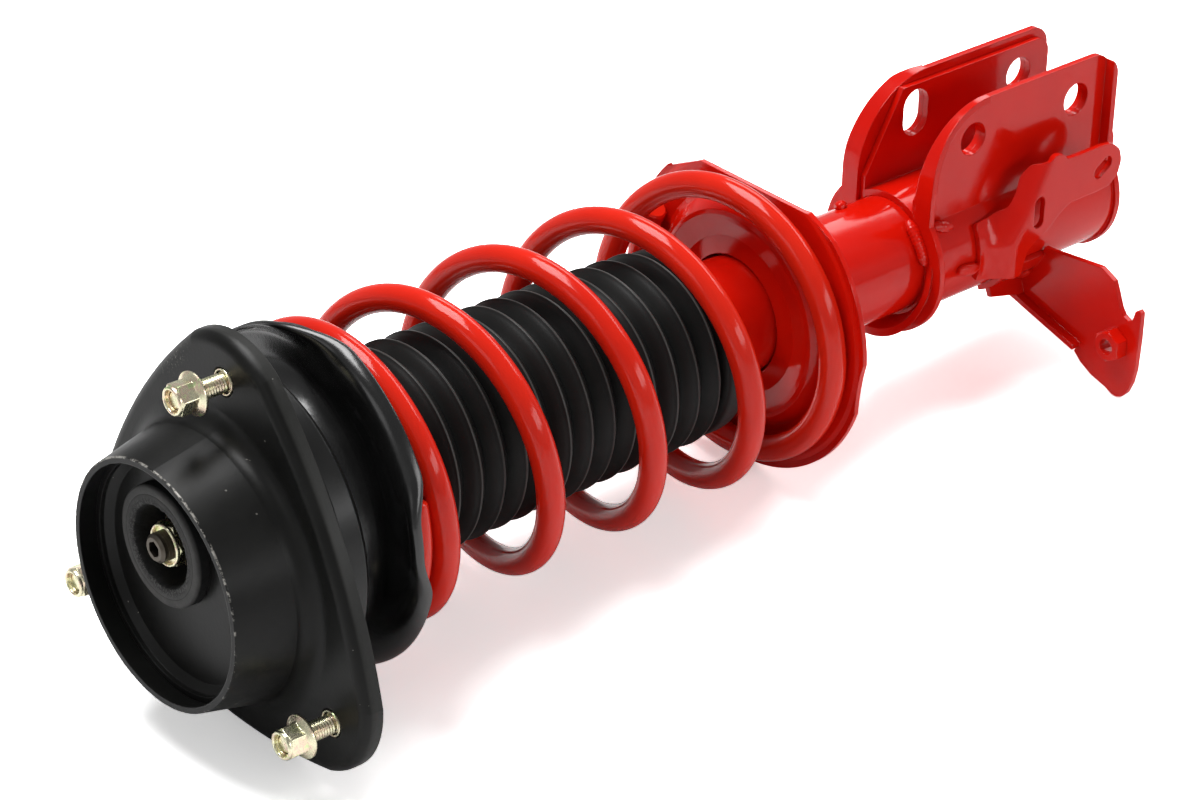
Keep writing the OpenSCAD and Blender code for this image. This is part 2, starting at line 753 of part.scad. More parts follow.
// Rolled cap that holds the seal and the guide in the tube's mouth
module gland_cap() {
    color("#2a2b2d") lay() rotate_extrude() polygon([
        [rod_r + 0.6, tube_top_z - gland_t], [tube_r - 2, tube_top_z - gland_t],
        [tube_r + 0.6, tube_top_z - gland_t + 2.6], [tube_r + 0.6, tube_top_z],
        [tube_in_r - fit_gap, tube_top_z], [tube_in_r - fit_gap, seal_z + 1.4],
        [rod_r + 3.2, seal_z + 1.4], [rod_r + 0.6, tube_top_z]
    ]);
}

// Pressed dish with a straight side; the coil lies flat in its channel
module lower_spring_seat() {
    floor_z = seat_floor_z;
    ridge_z = floor_z - ridge_h;
    hole_r = tube_r + 1.1;
    notch_r = 60;
    color("#b5120f") lay() difference() {
        rotate_extrude($fn = 144) polygon([
            [hole_r, ridge_z], [35, ridge_z + 1.6], [ridge_r - 2, ridge_z + 0.2],
            [ridge_r, ridge_z], [ridge_r + 2, ridge_z + 0.6], [ridge_r + 7, floor_z - 1],
            [ridge_r + 9.4, floor_z], [lower_seat_r - 4.8, floor_z],
            [lower_seat_r - 2.8, floor_z + 0.7],
            [lower_seat_r, floor_z + 0.2], [lower_seat_r, floor_z + seat_t],
            [lower_seat_r - 2.8, floor_z + seat_t + 0.9], [lower_seat_r - 5.2, floor_z + seat_t],
            [ridge_r + 8, floor_z + seat_t], [ridge_r + 5, floor_z + 1.2],
            [ridge_r + 1.2, ridge_z + 3], [ridge_r, ridge_z + seat_t],
            [ridge_r - 2, ridge_z + seat_t + 0.2], [35, ridge_z + seat_t + 1.6],
            [hole_r, ridge_z + seat_t]
        ]);
        translate([0, 0, ridge_z - over]) linear_extrude(30) polygon([
            [seat_chord, -31], [seat_chord, 34], [seat_chord - 7, 49],
            [seat_chord + 20, 70], [seat_chord + 20, -60], [seat_chord - 10, -51]
        ]);
        rotate([0, 0, 98]) translate([lower_seat_r - 2.4 + notch_r, 0, ridge_z])
            cylinder(r = notch_r, h = 30, $fn = 144);
    }
}

// Ring that carries the seat on the tube from behind
module seat_support() {
    face_z = seat_floor_z - ridge_h + seat_t + 1.6 + weld_gap;
    hold_r = tube_r + fit_gap;
    color("#ad120f") lay() rotate_extrude() polygon([
        [hold_r + 3, face_z], [40, face_z], [40, face_z + seat_t],
        [hold_r + seat_t + 3, face_z + seat_t], [hold_r + seat_t, face_z + seat_t + 4],
        [hold_r + seat_t, face_z + 20], [hold_r, face_z + 20], [hold_r, face_z + 4]
    ]);
}

// ---- knuckle bracket ----

// Corner of a plate, cut to a radius; the corner points at +x +y
module corner_cut(radius, depth) {
    translate([0, 0, -over]) linear_extrude(depth + 2 * over) difference() {
        translate([-radius, -radius]) square(radius + over);
        translate([-radius, -radius]) circle(r = radius);
    }
}

// Keyhole section of the bracket: a ring round the tube and two upright ears
module keyhole(grow, height) {
    union() {
        circle(r = shell_in_r + grow);
        translate([0, -(ear_in + grow)]) square([height, 2 * (ear_in + grow)]);
    }
}

// Rounds the upper corners of anything that stands in the ears' plane
module trim_ears(front_z, rear_z, top, front_r, rear_r) {
    width = 80;
    difference() {
        children();
        translate([top, width / 2, front_z]) rotate([90, 0, 0]) mirror([0, 1, 0])
            corner_cut(front_r, width);
        translate([top, width / 2, rear_z]) rotate([90, 0, 0])
            corner_cut(rear_r, width);
        // the ears end a little before the ring round the tube
        translate([0, width / 2, 0]) rotate([90, 0, 0]) linear_extrude(width) polygon([
            [ear_foot, bracket_end_z + 0.4], [ear_foot + 10, rear_z], [top + 5, rear_z],
            [top + 5, bracket_end_z + 4], [ear_foot, bracket_end_z + 4]
        ]);
    }
}

// The bolt holes through both ears, with the far upper one drawn out
module bolt_holes() {
    hole_r = bolt_hole_d / 2;
    reach = 60;
    for (z = [upper_bolt_z, lower_bolt_z]) translate([bolt_height, 0, z]) rotate([-90, 0, 0])
        cylinder(r = hole_r, h = reach);
    translate([bolt_height, 0, lower_bolt_z]) rotate([90, 0, 0]) cylinder(r = hole_r, h = reach);
    half = (adjust_slot_len - bolt_hole_d) / 2;
    for (side = [-1, 1]) translate([bolt_height + side * half, 0, upper_bolt_z])
        rotate([90, 0, 0]) cylinder(r = hole_r, h = reach);
    translate([bolt_height - half, -reach, upper_bolt_z - hole_r])
        cube([2 * half, reach, bolt_hole_d]);
}

module knuckle_bracket() {
    inner_top = ear_height + 10;
    color("#c01310") lay() difference() {
        trim_ears(bracket_z, ear_rear_z, ear_height, front_corner_r, rear_corner_r) {
            translate([0, 0, bracket_z]) linear_extrude(bracket_len)
                keyhole(bracket_t, ear_height);
            translate([0, 0, bracket_z]) linear_extrude(bracket_t)
                keyhole(bracket_t + stiffener, ear_height);
            translate([0, 0, bracket_end_z - bracket_t]) cylinder(r = shell_out_r + 1.4, h = bracket_t);
            translate([20, -ear_out - 5, ear_rear_z - bracket_t])
                cube([ear_height - 20, 2 * ear_out + 10, bracket_t + over]);
            corner_stiffener();
            bell_mouth();
        }
        translate([0, 0, bracket_z - over]) linear_extrude(bracket_len + 2 * over)
            keyhole(0, inner_top);
        edge_taper();
        bolt_holes();
    }
}

// The front edge opens out towards the seat, most of all below the tube
module bell_mouth() {
    depth = 9;
    mouth_r = shell_out_r + stiffener;
    translate([0, 0, bracket_z - depth]) difference() {
        cylinder(r1 = mouth_r, r2 = shell_out_r, h = depth + bracket_t);
        translate([0, 0, -over / 10])
            cylinder(r1 = shell_in_r + stiffener, r2 = shell_in_r, h = depth + bracket_t);
        translate([0, 50, 0]) rotate([90, 0, 0]) linear_extrude(100) polygon([
            [-mouth_r - 1, -over], [-mouth_r, 0], [6, depth], [60, depth + 12], [60, -over]
        ]);
    }
}

// Thins the stiffening edge towards the top of each ear
module edge_taper() {
    for (side = [0, 1]) mirror([0, side, 0])
        translate([0, 0, bracket_z - over]) linear_extrude(front_corner_r + 20) polygon([
            [ear_height + 1, ear_out + side * corner_lip], [36, ear_out + stiffener + 0.5],
            [36, ear_out + 20], [ear_height + 1, ear_out + 20]
        ]);
    translate([36, 0, 0]) mirror([0, 1, 0]) rotate([90, 0, 90]) linear_extrude(ear_height - 30)
        polygon([
            [ear_out + corner_lip + 1.3, bracket_z + 22], [ear_out - 0.02, bracket_z + front_corner_r + 3],
            [ear_out - 0.02, bracket_z + front_corner_r + 9], [ear_out + 20, bracket_z + front_corner_r + 9],
            [ear_out + 20, bracket_z + 22]
        ]);
}

// The stiffening edge goes on round the front corner of each ear
module corner_stiffener() {
    half = ear_out + stiffener;
    translate([ear_height - front_corner_r, half, bracket_z + front_corner_r])
        rotate([90, 0, 0]) intersection() {
            difference() {
                cylinder(r = front_corner_r, h = 2 * half);
                translate([0, 0, -over])
                    cylinder(r = front_corner_r - bracket_t, h = 2 * (half + over));
            }
            translate([0, -front_corner_r, -over])
                cube([front_corner_r, front_corner_r, 2 * (half + over)]);
        }
}

// Second sheet inside the ears, saddled over the tube
module bracket_liner() {
    front = bracket_z + 2;
    rear = bracket_end_z - 5.5;
    leg_out = ear_in - fit_gap;
    leg_in = leg_out - liner_t;
    slope_len = 38;
    slope_run = 21;
    color("#a31310") lay() difference() {
        translate([0, 0, front]) linear_extrude(rear - front) difference() {
            union() {
                intersection() {
                    circle(r = shell_out_r);
                    translate([0, -leg_out]) square([shell_out_r, 2 * leg_out]);
                }
                translate([0, -leg_out]) square([liner_height, 2 * leg_out]);
            }
            circle(r = shell_in_r);
            difference() {
                translate([0, -leg_in]) square([liner_height + over, 2 * leg_in]);
                circle(r = shell_out_r);
            }
        }
        translate([0, 40, front]) rotate([90, 0, 0]) linear_extrude(80) polygon([
            [liner_height - slope_len, -over], [liner_height + over, -over],
            [liner_height + over, slope_run]
        ]);
        translate([0, 40, front]) rotate([90, 0, 0]) linear_extrude(40) polygon([
            [liner_height - slope_len + 8, -2 * over], [liner_height + 2 * over, -2 * over],
            [liner_height + 2 * over, 2 * slope_run], [liner_height - 16, slope_run + 2]
        ]);
        translate([liner_height, 40, rear]) rotate([90, 0, 0]) corner_cut(8, 80);
        bolt_holes();
    }
}

// ---- line brackets ----

// Part of a sheet ring that hugs the bracket's shell
module saddle(from_angle, to_angle, from, to) {
    translate([0, 0, from]) rotate([0, 0, from_angle])
        rotate_extrude(angle = to_angle - from_angle)
            translate([saddle_r, 0]) square([line_t, to - from]);
}

// A rounded bar shape between two points of the plate's plane
module bar_outline(from, to, radius) {
    run = to - from;
    length = norm(run);
    translate(from) rotate(atan2(run[1], run[0])) union() {
        circle(r = radius);
        translate([length, 0]) circle(r = radius);
        translate([0, -radius]) square([length, 2 * radius]);
    }
}

// Plate on the near side with two slots, carried on a web that stands on a foot
module sensor_bracket() {
    foot = 424;
    base = 446;
    top_z = 37;
    top_at = 437;
    inner = sensor_plate_y - line_t;
    arm_tip = [26.5, 494];
    slot_a = [16.7, 453];
    slot_b = [26.5, 493];
    color("#b81210") lay() difference() {
        union() {
            saddle(58, 111, foot, base - 1);
            translate([0, sensor_plate_y, 0]) rotate([90, 0, 0]) linear_extrude(line_t) union() {
                polygon([[3, base], [top_z, top_at], [41, top_at + 4], [40, base + 6],
                         [42, base + 15], [38, base + 22], [30, base + 24], [15.5, base + 27],
                         [13, base + 22], [6, base + 13], [2.6, base + 6]]);
                bar_outline([26.5, base + 18], arm_tip, 11);
            }
            difference() {
                translate([0, sensor_plate_y - line_t / 2, 0]) rotate([90, 0, 0])
                    linear_extrude(inner - shell_in_r + 12) polygon([
                        [3, base], [top_z, top_at], [top_z, top_at + line_t], [3, base + line_t]
                    ]);
                translate([0, 0, foot]) linear_extrude(60) union() {
                    circle(r = saddle_r + line_t / 2);
                    polygon([[14, 0], [14, 29], [top_z + 2, inner - 0.6], [60, inner], [60, 0]]);
                }
            }
        }
        translate([0, sensor_plate_y + over, 0]) rotate([90, 0, 0])
            linear_extrude(line_t + 2 * over) {
                bar_outline(slot_a - [4.4, 0], slot_a + [4.4, 0], 3.2);
                bar_outline(slot_b - [1.6, 2.4], slot_b + [1.6, 2.4], 3.2);
            }
    }
}

// Plate square to the strut's axis that reaches down to the ground
module hose_bracket() {
    low = -(lie_height - (hose_plate_z + 1) * sin(lie_tilt)) / cos(lie_tilt);
    fold = 4.6;
    fold_from = [-36.2, 14.2];
    fold_to = [-47.6, hose_reach - 34];
    color("#a91210") lay() difference() {
        union() {
            saddle(113, 156, hose_plate_z - 24, hose_plate_z + line_t / 2);
            translate([0, 0, hose_plate_z]) linear_extrude(line_t) difference() {
                polygon([
                    [-9, 26], [-9, 32], [-5.7, hose_reach - 25], [-9.4, hose_reach - 17],
                    [-14.6, hose_reach - 14.8], [-20.9, hose_reach - 12.2],
                    [-23.7, hose_reach - 10], [-24.9, hose_reach - 7.2],
                    [-23.4, hose_reach - 4.6], [-18.7, hose_reach - 3.4],
                    [-17.4, hose_reach - 1.6], [-18.6, hose_reach], [-32, hose_reach],
                    [-47.6, hose_reach - 0.7], [-54.2, hose_reach - 2],
                    [low + 4, hose_reach - 4.4], [low + 1.2, hose_reach - 6.8],
                    [low, hose_reach - 9.8], [low + 0.3, hose_reach - 13],
                    [low + 2, hose_reach - 16.4], [-59.5, hose_reach - 25.4],
                    [-56, hose_reach - 32], [-52, hose_reach - 36.4], fold_to, fold_from
                ]);
                circle(r = saddle_r + 1);
            }
            // lip along the saddle's lower edge
            rotate([0, 0, 156]) translate([saddle_r, -0.3, hose_plate_z]) rotate([90, 0, 0])
                linear_extrude(line_t) polygon([
                    [0.4, -20], [6.8, -20], [7.6, -19], [11, -4], [11, line_t / 2], [0.4, line_t / 2]
                ]);
            // folded lower edge
            translate([fold_from[0], fold_from[1], hose_plate_z - fold])
                rotate([0, 0, atan2(fold_to[1] - fold_from[1], fold_to[0] - fold_from[0])])
                    translate([-0.6, -line_t / 2, 0])
                        cube([norm(fold_to - fold_from) + 1.2, line_t, fold + line_t / 2]);
        }
        hose_nut_place() translate([0, 0, -over]) cylinder(r = hose_nut_d / 2, h = line_t + 2 * over);
    }
}

module hose_nut_place() {
    translate([-38, hose_reach - 12.9, hose_plate_z]) children();
}

module hose_bracket_nut() {
    height = 6.5;
    color("#b81210") lay() hose_nut_place() translate([0, 0, -height]) difference() {
        hex_bar(13, height);
        translate([0, 0, -over]) cylinder(r = hose_nut_d / 2 - 0.4, h = height + 2 * over);
    }
}

// ---- spring ----

function spring_point(t) = let (a = spring_tip_angle + 360 * t)
    [spring_mean_r * cos(a), spring_mean_r * sin(a), spring_start_z + spring_rise(t)];

// One ring of the wire's skin, square to the helix
function wire_ring(t) =
    let (step = 0.001,
         centre = spring_point(t),
         ahead = spring_point(t + step) - spring_point(t - step),
         along = ahead / norm(ahead),
         a = spring_tip_angle + 360 * t,
         outward = [cos(a), sin(a), 0],
         across = cross(along, outward),
         up = across / norm(across),
         side = cross(up, along))
    [for (j = [0 : spring_sides - 1]) let (b = 360 * j / spring_sides)
        centre + wire_r * (cos(b) * side + sin(b) * up)];

module coil_spring() {
    rings = [for (i = [0 : spring_rings]) wire_ring(spring_turns * i / spring_rings)];
    color("#d8231b") lay() polyhedron([for (ring = rings) each ring],
        skin_faces(spring_rings + 1, spring_sides, false), convexity = 10);
}

// Least clear distance between neighbouring turns, measured on the points
function turn_gap(t) = min([for (back = [0.85 : 0.01 : 1.15]) if (t - back >= 0)
    norm(spring_point(t) - spring_point(t - back)) - wire_d]);
least_gap = min([for (t = [1 : 0.05 : spring_turns]) turn_gap(t)]);
echo(spring_least_gap = least_gap, spring_turns = spring_turns, spring_end = spring_end_z,
    tilt = lie_tilt, height = lie_height);

mount_plate();
mount_pan();
mount_lower_shell();
mount_rubber();
rubber_collar();
bearing_outer_race();
bearing_balls();
bearing_inner_race();
mount_studs();
flange_nuts();
rod_nut();
rod_washer();
upper_spring_seat();
upper_spring_pad();
bump_stop();
dust_boot();
piston_rod();
rebound_stop();
piston();
piston_ring();
piston_nut();
strut_tube();
tube_base_cap();
inner_cylinder();
base_valve();
rod_guide();
rod_seal();
gland_cap();
lower_spring_seat();
seat_support();
knuckle_bracket();
bracket_liner();
sensor_bracket();
hose_bracket();
hose_bracket_nut();
coil_spring();
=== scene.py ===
import json
import math

import bmesh
import bpy
import numpy as np
from mathutils import Matrix, Vector, noise
from mathutils.geometry import delaunay_2d_cdt


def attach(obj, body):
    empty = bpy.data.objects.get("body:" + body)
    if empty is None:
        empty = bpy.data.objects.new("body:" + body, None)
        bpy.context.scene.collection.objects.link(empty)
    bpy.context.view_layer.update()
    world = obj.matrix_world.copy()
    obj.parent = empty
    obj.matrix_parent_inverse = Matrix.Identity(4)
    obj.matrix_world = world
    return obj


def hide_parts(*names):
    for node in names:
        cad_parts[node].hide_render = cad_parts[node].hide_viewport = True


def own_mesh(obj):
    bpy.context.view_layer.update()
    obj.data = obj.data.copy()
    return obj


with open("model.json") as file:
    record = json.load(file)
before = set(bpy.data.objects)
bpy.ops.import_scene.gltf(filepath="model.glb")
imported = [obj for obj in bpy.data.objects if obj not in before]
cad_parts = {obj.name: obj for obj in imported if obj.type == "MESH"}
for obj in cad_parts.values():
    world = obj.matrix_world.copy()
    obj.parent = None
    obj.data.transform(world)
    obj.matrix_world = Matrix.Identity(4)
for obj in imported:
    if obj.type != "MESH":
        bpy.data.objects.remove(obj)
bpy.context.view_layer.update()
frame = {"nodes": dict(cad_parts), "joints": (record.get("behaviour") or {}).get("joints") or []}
nodes = frame["nodes"]


# ---- Strut tube ----
# A drawn steel tube of 52 mm, closed with a pressed cap below and a rolled gland above.
# The whole lower part was dipped and stoved in one coat of deep red gloss after welding.

# The strut's own axes: z runs along the rod from the rim of the top mount's cup,
# x points up between the bracket's ears and y towards the line brackets, in mm.
rod_slide, mount_swivel = frame["joints"]
rod_axis = Vector(rod_slide["axis"]).normalized()
ears_up = Vector((-rod_axis.z, 0, rod_axis.x))
SWIVEL_DEPTH = 0.032  # metres from the rim of the mount's cup to its bearing
cup_rim = Vector(mount_swivel["pos_m"]) - rod_axis * SWIVEL_DEPTH
strut = Matrix.Translation(cup_rim) @ Matrix(
    [[ears_up[i] * 0.001, (0, -0.001, 0)[i], rod_axis[i] * 0.001, 0] for i in range(3)] + [[0, 0, 0, 1]]
)


class Shade:
    """One socket of a material, so that its maths reads as an expression."""

    def __init__(self, tree, socket=None):
        self.tree, self.socket = tree, socket

    def node(self, kind, settings, inputs, out=0):
        made = self.tree.nodes.new("ShaderNode" + kind)
        for name, value in settings.items():
            if name == "stops":
                stops = made.color_ramp.elements
                while len(stops) < len(value):
                    stops.new(1)
                for stop, (place, colour) in zip(stops, value):
                    stop.position, stop.color = place, (*colour, 1)
            else:
                setattr(made, name, value)
        for name, value in inputs.items():
            if isinstance(value, Shade):
                self.tree.links.new(value.socket, made.inputs[name])
            else:
                made.inputs[name].default_value = value
        return Shade(self.tree, made.outputs[out])

    def math(self, operation, first, second=0.5):
        return self.node("Math", {"operation": operation}, {0: first, 1: second})

    def __add__(self, other):
        return self.math("ADD", self, other)

    def __sub__(self, other):
        return self.math("SUBTRACT", self, other)

    def __rsub__(self, other):
        return self.math("SUBTRACT", other, self)

    def __mul__(self, other):
        return self.math("MULTIPLY", self, other)

    __radd__, __rmul__ = __add__, __mul__

    def between(self, low, high):
        """0 at low and 1 at high, smooth in between."""
        return self.node(
            "MapRange",
            {"interpolation_type": "SMOOTHSTEP"},
            {"Value": self, "From Min": low, "From Max": high},
        )

    def mix(self, first, second):
        """The colour first where this mask is 0 and second where it is 1."""
        colours = {
            name: value if isinstance(value, Shade) else (*value, 1)
            for name, value in ((6, first), (7, second))
        }
        return self.node("Mix", {"data_type": "RGBA"}, {0: self, **colours}, out=2)

    def off_axis(self, x=0.0, y=0.0):
        """This place's distance in mm from the strut's own line through x, y."""
        line = strut @ Vector((x, y, 0))
        arm = self.node("VectorMath", {"operation": "SUBTRACT"}, {0: self, 1: line})
        side = self.node("VectorMath", {"operation": "CROSS_PRODUCT"}, {0: arm, 1: rod_axis})
        return self.node("VectorMath", {"operation": "LENGTH"}, {0: side}, out=1) * 1000

    def along(self, way=None):
        """This place's distance in mm from the cup's rim along the strut, or along another way."""
        arm = self.node("VectorMath", {"operation": "SUBTRACT"}, {0: self, 1: cup_rim})
        way = way or rod_axis
        return self.node("VectorMath", {"operation": "DOT_PRODUCT"}, {0: arm, 1: way}, out=1) * 1000

    def speckle(self, place, size, detail=3.0, roughness=0.55):
        """Noise whose blotches are about size mm across."""
        return self.node(
            "TexNoise",
            {},
            {"Vector": place, "Scale": 1000 / size, "Detail": detail, "Roughness": roughness},
        )


def finish(name, **plain):
    """A new material, its Principled shader with the given plain values, and its Shade."""
    material = bpy.data.materials.new(name)
    material.use_nodes = True
    shader = material.node_tree.nodes["Principled BSDF"]
    for socket, value in plain.items():
        shader.inputs[socket.replace("_", " ")].default_value = value
    return material, shader, Shade(material.node_tree)


def feed(shade, shader, **sockets):
    for socket, value in sockets.items():
        shade.tree.links.new(value.socket, shader.inputs[socket.replace("_", " ")])


def bumped(shade, height, depth, edge=0.0):
    """Surface relief of depth mm, over edges rounded to edge mm."""
    rounded = shade.node("Bevel", {"samples": 6}, {"Radius": edge / 1000}) if edge else None
    inputs = {"Height": height, "Distance": depth / 1000, "Strength": 1.0}
    if rounded:
        inputs["Normal"] = rounded
    return shade.node("Bump", {}, inputs)


def red_gloss(name, colour, deep, edge):
    """Stoved gloss paint: even colour with a faint orange peel."""
    material, shader, shade = finish(name, Specular_IOR_Level=0.3)
    place = shade.node("TexCoord", {}, {}, out=3)
    cloud = shade.speckle(place, 45).between(0.3, 0.75)
    peel = shade.speckle(place, 2.6, detail=1.5)
    feed(
        shade,
        shader,
        Base_Color=cloud.mix(colour, deep),
        Roughness=0.1 + cloud * 0.05,
        Normal=bumped(shade, peel, 0.035, edge),
    )
    return material


def dress(material, *names):
    for name in names:
        nodes[name].data.materials.clear()
        nodes[name].data.materials.append(material)


body_red = red_gloss("deep_red_paint", (0.68, 0.008, 0.002), (0.60, 0.006, 0.002), 0.7)
dress(body_red, "strut_tube", "tube_base_cap", "gland_cap")


def piece(name, rings, material, body, loop=False, hoop=True, ends=False, sharp=32):
    """Skins equal rings of points, in the strut's own axes, into one piece that rides on body.

    Several like skins make one piece of several parts.
    """
    skins = np.asarray(rings, float)
    skins = skins if skins.ndim == 4 else skins[None]
    copies, count, across = skins.shape[:3]
    faces = []
    for first in range(0, copies * count * across, count * across):
        faces += [
            (first + i * across + k, first + i * across + (k + 1) % across,
             first + (i + 1) % count * across + (k + 1) % across, first + (i + 1) % count * across + k)
            for i in range(count if loop else count - 1)
            for k in range(across if hoop else across - 1)
        ]
        if ends:
            faces += [tuple(range(first, first + across)),
                      tuple(range(first + (count - 1) * across, first + count * across))]
    mesh = bpy.data.meshes.new(name)
    mesh.from_pydata([strut @ Vector(point) for point in skins.reshape(-1, 3)], [], faces)
    shell = bmesh.new()
    shell.from_mesh(mesh)
    bmesh.ops.recalc_face_normals(shell, faces=shell.faces)
    shell.to_mesh(mesh)
    shell.free()
    mesh.shade_smooth()
    mesh.set_sharp_from_angle(angle=math.radians(sharp))
    mesh.materials.append(material)
    made = bpy.data.objects.new(name, mesh)
    bpy.context.scene.collection.objects.link(made)
    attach(made, body)
    return made


def turned(profile, sides=144, centre=(0, 0)):
    """Lines of a lathe shape, one to each angle: profile holds (radius, z), its axis at centre."""
    turn = np.arange(sides) * 2 * np.pi / sides
    profile = np.asarray(profile, float)
    return np.stack([
        centre[0] + np.outer(np.cos(turn), profile[:, 0]),
        centre[1] + np.outer(np.sin(turn), profile[:, 0]),
        np.tile(profile[:, 1], (sides, 1)),
    ], axis=2)


def weld(name, path, width, body, seed):
    """A weld bead along path: overlapping ripples, a little uneven in width and height."""
    spacing, sides, flattened = 0.45, 14, 0.8
    path = np.asarray(path, float)
    steps = np.linalg.norm(np.diff(path, axis=0), axis=1)
    reach = np.concatenate([[0], np.cumsum(steps)])
    count = max(8, int(reach[-1] / spacing))
    at = np.linspace(0, reach[-1], count)
    centre = np.stack([np.interp(at, reach, path[:, i]) for i in range(3)], axis=1)
    ahead = np.roll(centre, -1, axis=0) - np.roll(centre, 1, axis=0)
    ahead[0], ahead[-1] = centre[1] - centre[0], centre[-1] - centre[-2]
    ahead /= np.linalg.norm(ahead, axis=1)[:, None]
    out = centre * (1, 1, 0)
    out /= np.linalg.norm(out, axis=1)[:, None]
    up = np.cross(ahead, out)
    up /= np.linalg.norm(up, axis=1)[:, None]
    out = np.cross(up, ahead)
    rings = []
    for i, place in enumerate(centre):
        lump = noise.noise(Vector((at[i] * 0.11, seed, 0))) * 0.35
        ripple = 0.12 * abs(math.sin(at[i] * 1.9 + 0.8 * lump))
        end = min(1, (0.25 + min(at[i], reach[-1] - at[i]) / width) ** 0.5)
        radius = width / 2 * (1 + lump * 0.5 + ripple) * end
        turn = np.arange(sides) * 2 * np.pi / sides
        raised = np.outer(np.cos(turn), out[i]) * flattened
        rings.append(place + radius * (raised + np.outer(np.sin(turn), up[i])))
    return piece(name, rings, body_red, body, ends=True, sharp=70)


# ---- Knuckle bracket ----
# Two pressed shells of 3 mm sheet wrap the tube and stand up as ears for the knuckle bolts.
# They are welded round the tube and painted with it.

dress(body_red, "knuckle_bracket", "bracket_liner")


def around(radius, *stops):
    """Points on a cylinder about the strut, from stops of (degrees, z)."""
    turns, places = zip(*stops)
    fine = np.linspace(0, 1, 24)
    turn = np.radians(np.interp(fine, np.linspace(0, 1, len(turns)), turns))
    z = np.interp(fine, np.linspace(0, 1, len(places)), places)
    return np.stack([radius * np.cos(turn), radius * np.sin(turn), z], axis=1)


# Each bead: name, radius it runs at, its stops in (degrees, z), width and seed.
for name, radius, stops, width, seed in (
    ("bead_at_front_edge", 27.6, [(34, 393.6), (55, 393.0), (78, 393.8)], 5.4, 3),
    ("bead_at_far_ear", 27.2, [(-26, 379), (-17, 376)], 6, 5),
    ("bead_behind_near_lip", 30.3, [(48, 402), (54, 412)], 5.2, 8),
    ("bead_under_near_ear", 30.2, [(94, 412), (98, 425)], 5.4, 11),
    ("bead_at_hose_plate", 31.8, [(134, 467), (150, 467)], 4.6, 14),
):
    weld(name, around(radius, *stops), width, "strut", seed)


# ---- Line brackets ----
# Small pressings on saddles welded to the bracket's shell: one holds the sensor lead,
# the other reaches down and holds the brake hose with a weld nut.

dress(body_red, "hose_bracket", "hose_bracket_nut")


def inside(points, loop):
    """Which of the flat points lie inside the loop."""
    x, y = points[:, 0, None], points[:, 1, None]
    ax, ay = loop[:, 0], loop[:, 1]
    bx, by = np.roll(ax, -1), np.roll(ay, -1)
    slope = (bx - ax) / np.where(by == ay, 1e-9, by - ay)
    crosses = ((ay > y) != (by > y)) & (x < ax + (y - ay) * slope)
    return crosses.sum(axis=1) % 2 == 1


def soft_loop(corners, cut, step=0.8):
    """A closed outline with its corners turned to arcs, as points about step mm apart."""
    corners = np.asarray(corners, float)
    line = []
    for before, corner, after in zip(np.roll(corners, 1, axis=0), corners, np.roll(corners, -1, axis=0)):
        back, ahead = before - corner, after - corner
        start = corner + back * min(cut / np.hypot(*back), 0.48)
        end = corner + ahead * min(cut / np.hypot(*ahead), 0.48)
        line += [start * (1 - t) ** 2 + corner * 2 * t * (1 - t) + end * t * t
                 for t in np.linspace(0, 1, 6)]
    line = np.array(line)
    ahead = np.roll(line, -1, axis=0)
    return np.concatenate([
        a + (b - a) * np.arange(k)[:, None] / k
        for a, b, k in ((a, b, max(1, int(np.hypot(*(b - a)) / step))) for a, b in zip(line, ahead))
    ])


def pressing(name, outline, holes, place, thick, step, material, body):
    """Sheet cut to a flat outline with holes, pressed to the surface that place gives.

    It is thick mm inwards from that surface.
    """
    loops = [outline, *holes]
    across = np.arange(outline[:, 0].min(), outline[:, 0].max(), step)
    up = np.arange(outline[:, 1].min(), outline[:, 1].max(), step)
    grid = np.stack(np.meshgrid(across, up), axis=2).reshape(-1, 2)
    edge = np.concatenate(loops)
    clear = np.array([np.hypot(*(edge - point).T).min() > step * 0.6 for point in grid])
    keep = inside(grid, outline) & clear
    for hole in holes:
        keep &= ~inside(grid, hole)
    points = np.concatenate([edge, grid[keep]])
    edges, first = [], 0
    for loop in loops:
        edges += [(first + i, first + (i + 1) % len(loop)) for i in range(len(loop))]
        first += len(loop)
    flat, _, faces, *_ = delaunay_2d_cdt([Vector(point) for point in points], edges, [], 0, 1e-6)
    flat = np.array([tuple(point) for point in flat])
    middles = np.array([flat[list(face)].mean(axis=0) for face in faces])
    keep = inside(middles, outline)
    for hole in holes:
        keep &= ~inside(middles, hole)
    shell = bmesh.new()
    top = [shell.verts.new(place(u, v)) for u, v in flat]
    for face, kept in zip(faces, keep):
        if kept:
            shell.faces.new([top[i] for i in face])
    bmesh.ops.recalc_face_normals(shell, faces=shell.faces)
    shell.normal_update()
    out = 1 if sum(face.normal.y * face.calc_area() for face in shell.faces) > 0 else -1
    under = {vert: shell.verts.new(vert.co - vert.normal * out * thick)
             for vert in top if vert.link_faces}
    rims = [edge for edge in shell.edges if len(edge.link_faces) == 1]
    for face in shell.faces[:]:
        shell.faces.new([under[vert] for vert in reversed(face.verts)])
    for edge in rims:
        a, b = edge.verts
        shell.faces.new([a, b, under[b], under[a]])
    loose = [vert for vert in shell.verts if not vert.link_faces]
    bmesh.ops.delete(shell, geom=loose, context="VERTS")
    bmesh.ops.recalc_face_normals(shell, faces=shell.faces)
    bmesh.ops.transform(shell, matrix=strut, verts=shell.verts)
    mesh = bpy.data.meshes.new(name)
    shell.to_mesh(mesh)
    shell.free()
    mesh.shade_smooth()
    mesh.set_sharp_from_angle(angle=math.radians(40))
    mesh.materials.append(material)
    made = bpy.data.objects.new(name, mesh)
    bpy.context.scene.collection.objects.link(made)
    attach(made, body)
    return made


